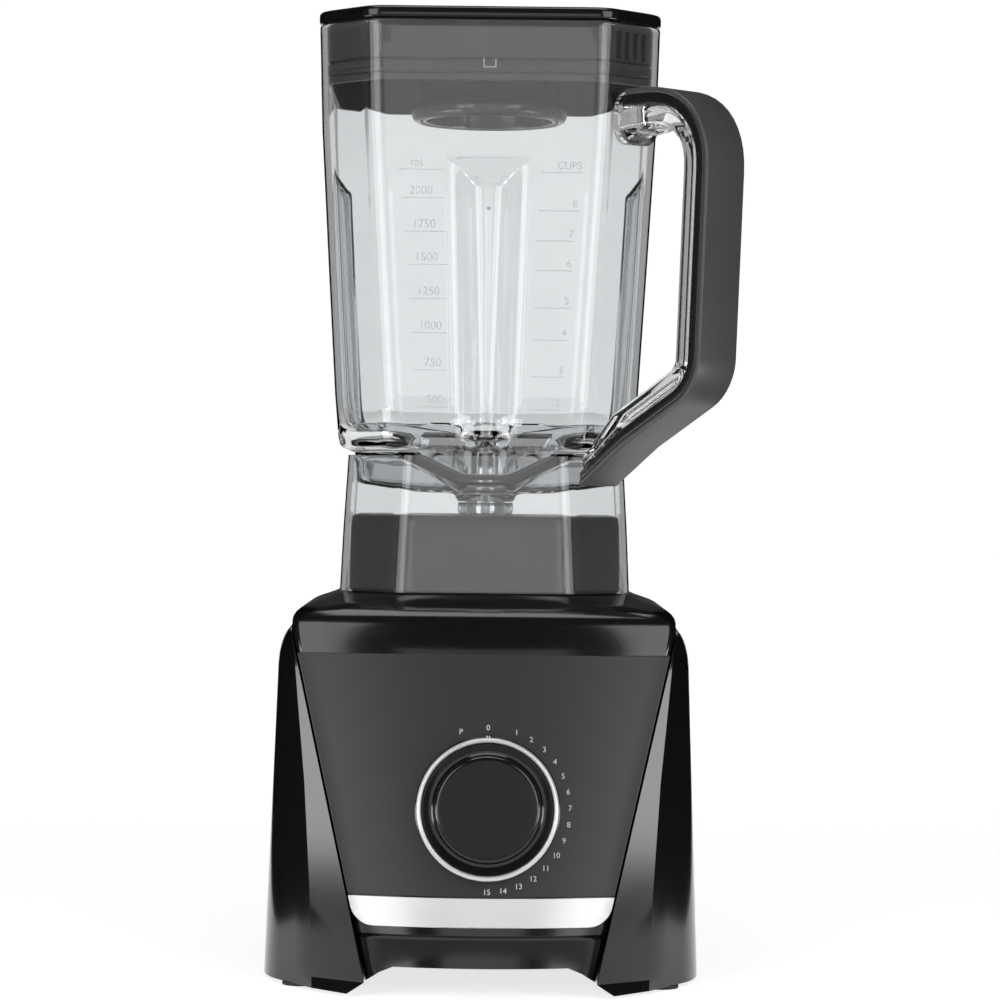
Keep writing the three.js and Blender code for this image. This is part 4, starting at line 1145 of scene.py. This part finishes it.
make_piece(
    "blade_hex_nut", nut_shape, "blades", ground_steel, ["blade_nut", "blade_washer"], "steel",
    sharp=20, bevel=0.2,
)
hub_profile = [
    (9.4, 214.1), (12.4, 214.1), (12.8, 213.4), (12.8, 210.6), (12.2, 209.2), (11, 208.6), (9.4, 208.6),
]
make_piece(
    "clear_hub_nut", upright(hub_profile, 96, True), "jar", clear_plastic, ["hub_nut"], "clear_plastic",
    sharp=40,
)
silicone = finish_material(
    "silicone", (0.03, 0.03, 0.031), (0.045, 0.045, 0.046), 0.35, 0.5, grain=700, bump=0.01
)
seal_profile = [(9.2, 219.35), (10.9, 219.35), (11, 219.85), (10.9, 220.35), (9.2, 220.35)]
make_piece("hub_seal", upright(seal_profile, 64, True), "jar", silicone, ["hub_gasket"], "seal")

# ---- Lid ----------------------------------------------------------------------------------------
# A glossy black cover plate on the rim with a deep dark skirt inside the jar. The skirt has a groove
# with a soft gasket, four strainer slots at the pouring corner, and a small locating tab in front.
lid_gloss = finish_material(
    "lid_gloss", (0.004, 0.004, 0.0045), (0.007, 0.007, 0.0075), 0.08, 0.16, grain=900, bump=0.004
)
# The skirt's own tone is dark grey. Its colour is made lighter as painted reflection, standing for the
# softboxes mirrored in the jar wall in front of it.
skirt_grey_and_reflection = finish_material(
    "skirt_grey_and_reflection", (0.034, 0.034, 0.035), (0.043, 0.043, 0.044), 0.32, 0.38, grain=1500, bump=0.002
)
NECK_R, LID_HALF = 33.4, 76.2
plate_profile = [
    (0.8, 427), (0.25, 427.3), (0, 428), (0, 430.2), (0.2, 431.2), (0.8, 431.9), (1.8, 432.3), (3.4, 432.4),
    (6, 432.2), (9, 431.6), (12, 431.5),
]
plate_rings = [square_ring(z, LID_HALF - pull, JAR_CUT, 15) for pull, z in plate_profile]
lid_edge, lid_inner = plate_rings[0], plate_rings[-1]
MOUTH = ((41, 431.5), (40.2, 431.9), (39.8, 431.6), (NECK_R - 2.2, 431.4))
plate_rings += [like_circle(lid_inner, radius, z) for radius, z in MOUTH]
plate_rings.append(like_circle(lid_edge, NECK_R - 2.2, 427.1))
make_piece(
    "lid_plate", skin_rings(plate_rings, around=True), "lid", lid_gloss, ["lid_cover"], "matte_black",
    sharp=40,
)
skirt_levels = [
    (399.9, 0.9), (400.3, 0.5), (402.9, 0.45), (403.3, 1), (403.5, 1.6), (409.3, 1.6), (409.6, 1),
    (410, 0.45), (426.8, 0.4),
]


def skirt_ring(z, pull, cut=1.5, radius=12):
    """A ring in the jar's mouth, drawn in from its inner wall."""
    return square_ring(z, jar_half(min(z, 425.9)) - JAR_WALL - 0.1 - pull, JAR_CUT - cut, radius)


skirt_rings = [skirt_ring(z, pull) for z, pull in skirt_levels]
skirt_rings += [skirt_ring(z, 2.6, cut=2.4, radius=10) for z in (426.8, 415, 403, 400.1)]
skirt = make_piece(
    "lid_skirt", skin_rings(skirt_rings, around=True), "lid", skirt_grey_and_reflection, slot="matte_black", sharp=35
)
pour_slots = bmesh.new()
for step in range(4):
    add_bar(pour_slots, HANDLE_TURN, (85, -8 + step * 5.2, 417), (60, 2.8, 12.5))
cut_away(skirt, pour_slots, "strainer_slots")
GASKET_LEVELS = (
    (403.9, 1.5), (403.9, 0.5), (404.9, 0.12), (406, 0.5), (407.1, 0.12), (408.6, 0.5), (408.9, 1.5),
)
gasket_rings = [skirt_ring(z, pull) for z, pull in GASKET_LEVELS]
make_piece(
    "lid_soft_gasket", skin_rings(gasket_rings, around=True), "lid", silicone, ["lid_gasket"], "seal",
    sharp=50,
)
NECK_STEPS = (
    (-0.9, 427), (-0.9, 398.6), (-0.4, 397.6), (1.3, 396.9), (2.2, 395.6), (2.4, 393.6), (2.2, 391.2),
    (1.2, 389.4), (-0.4, 388.7), (-1.6, 389.1), (-2.1, 390.2), (-2.1, 427),
)
neck_profile = [(NECK_R + out, z) for out, z in NECK_STEPS]
neck_gloss = finish_material(
    "neck_gloss", (0.022, 0.022, 0.023), (0.03, 0.03, 0.031), 0.08, 0.14, grain=900, bump=0.002
)
make_piece("lid_neck", upright(neck_profile, 96, True), "lid", neck_gloss, slot="matte_black", sharp=40)
tab_bars = []
for x0, x1, z0, z1 in ((-2.9, -2.3, 405.6, 409.6), (2.3, 2.9, 405.6, 409.6), (-2.3, 2.3, 405.6, 406.2)):
    bar = block_between(x0, x1, -72.3, -71.9, z0, z1)
    bar_mesh = bpy.data.meshes.new("tab_bar")
    bar.to_mesh(bar_mesh)
    bar.free()
    tab_bars.append(bar_mesh)
make_piece("lid_tab", join_meshes(tab_bars), "lid", ridge_shade_and_glint, slot="matte_black")

# ---- Filler cap ---------------------------------------------------------------------------------
# The measuring cap in the middle of the lid: a low glossy top over a smoky clear cup, open below.
CUP_R = NECK_R - 2.55
cap_profile = [
    (0, 434.3), (30, 434.5), (36, 434.6), (38.2, 434.3), (38.9, 433.7), (39, 433.2), (38.7, 432.8),
    (38, 432.75), (0, 432.75),
]
make_piece(
    "cap_top", upright(cap_profile, 96), "filler_cap", lid_gloss, ["filler_cap"], "matte_black", sharp=40
)
smoky_clear = finish_material(
    "smoky_clear", (0.32, 0.33, 0.34), (0.4, 0.41, 0.42), 0.05, 0.12, grain=200, Metallic=0.0,
    Transmission_Weight=1.0, IOR=1.5,
)
CUP_STEPS = ((0, 432.6), (0, 390), (0.3, 389.3), (1, 389.1), (1.7, 389.3), (2, 390), (2, 431.8))
cup_profile = [(CUP_R - wall, z) for wall, z in CUP_STEPS] + [(0, 431.8)]
make_piece("cap_cup", upright(cup_profile, 96), "filler_cap", smoky_clear, slot="matte_black", sharp=40)
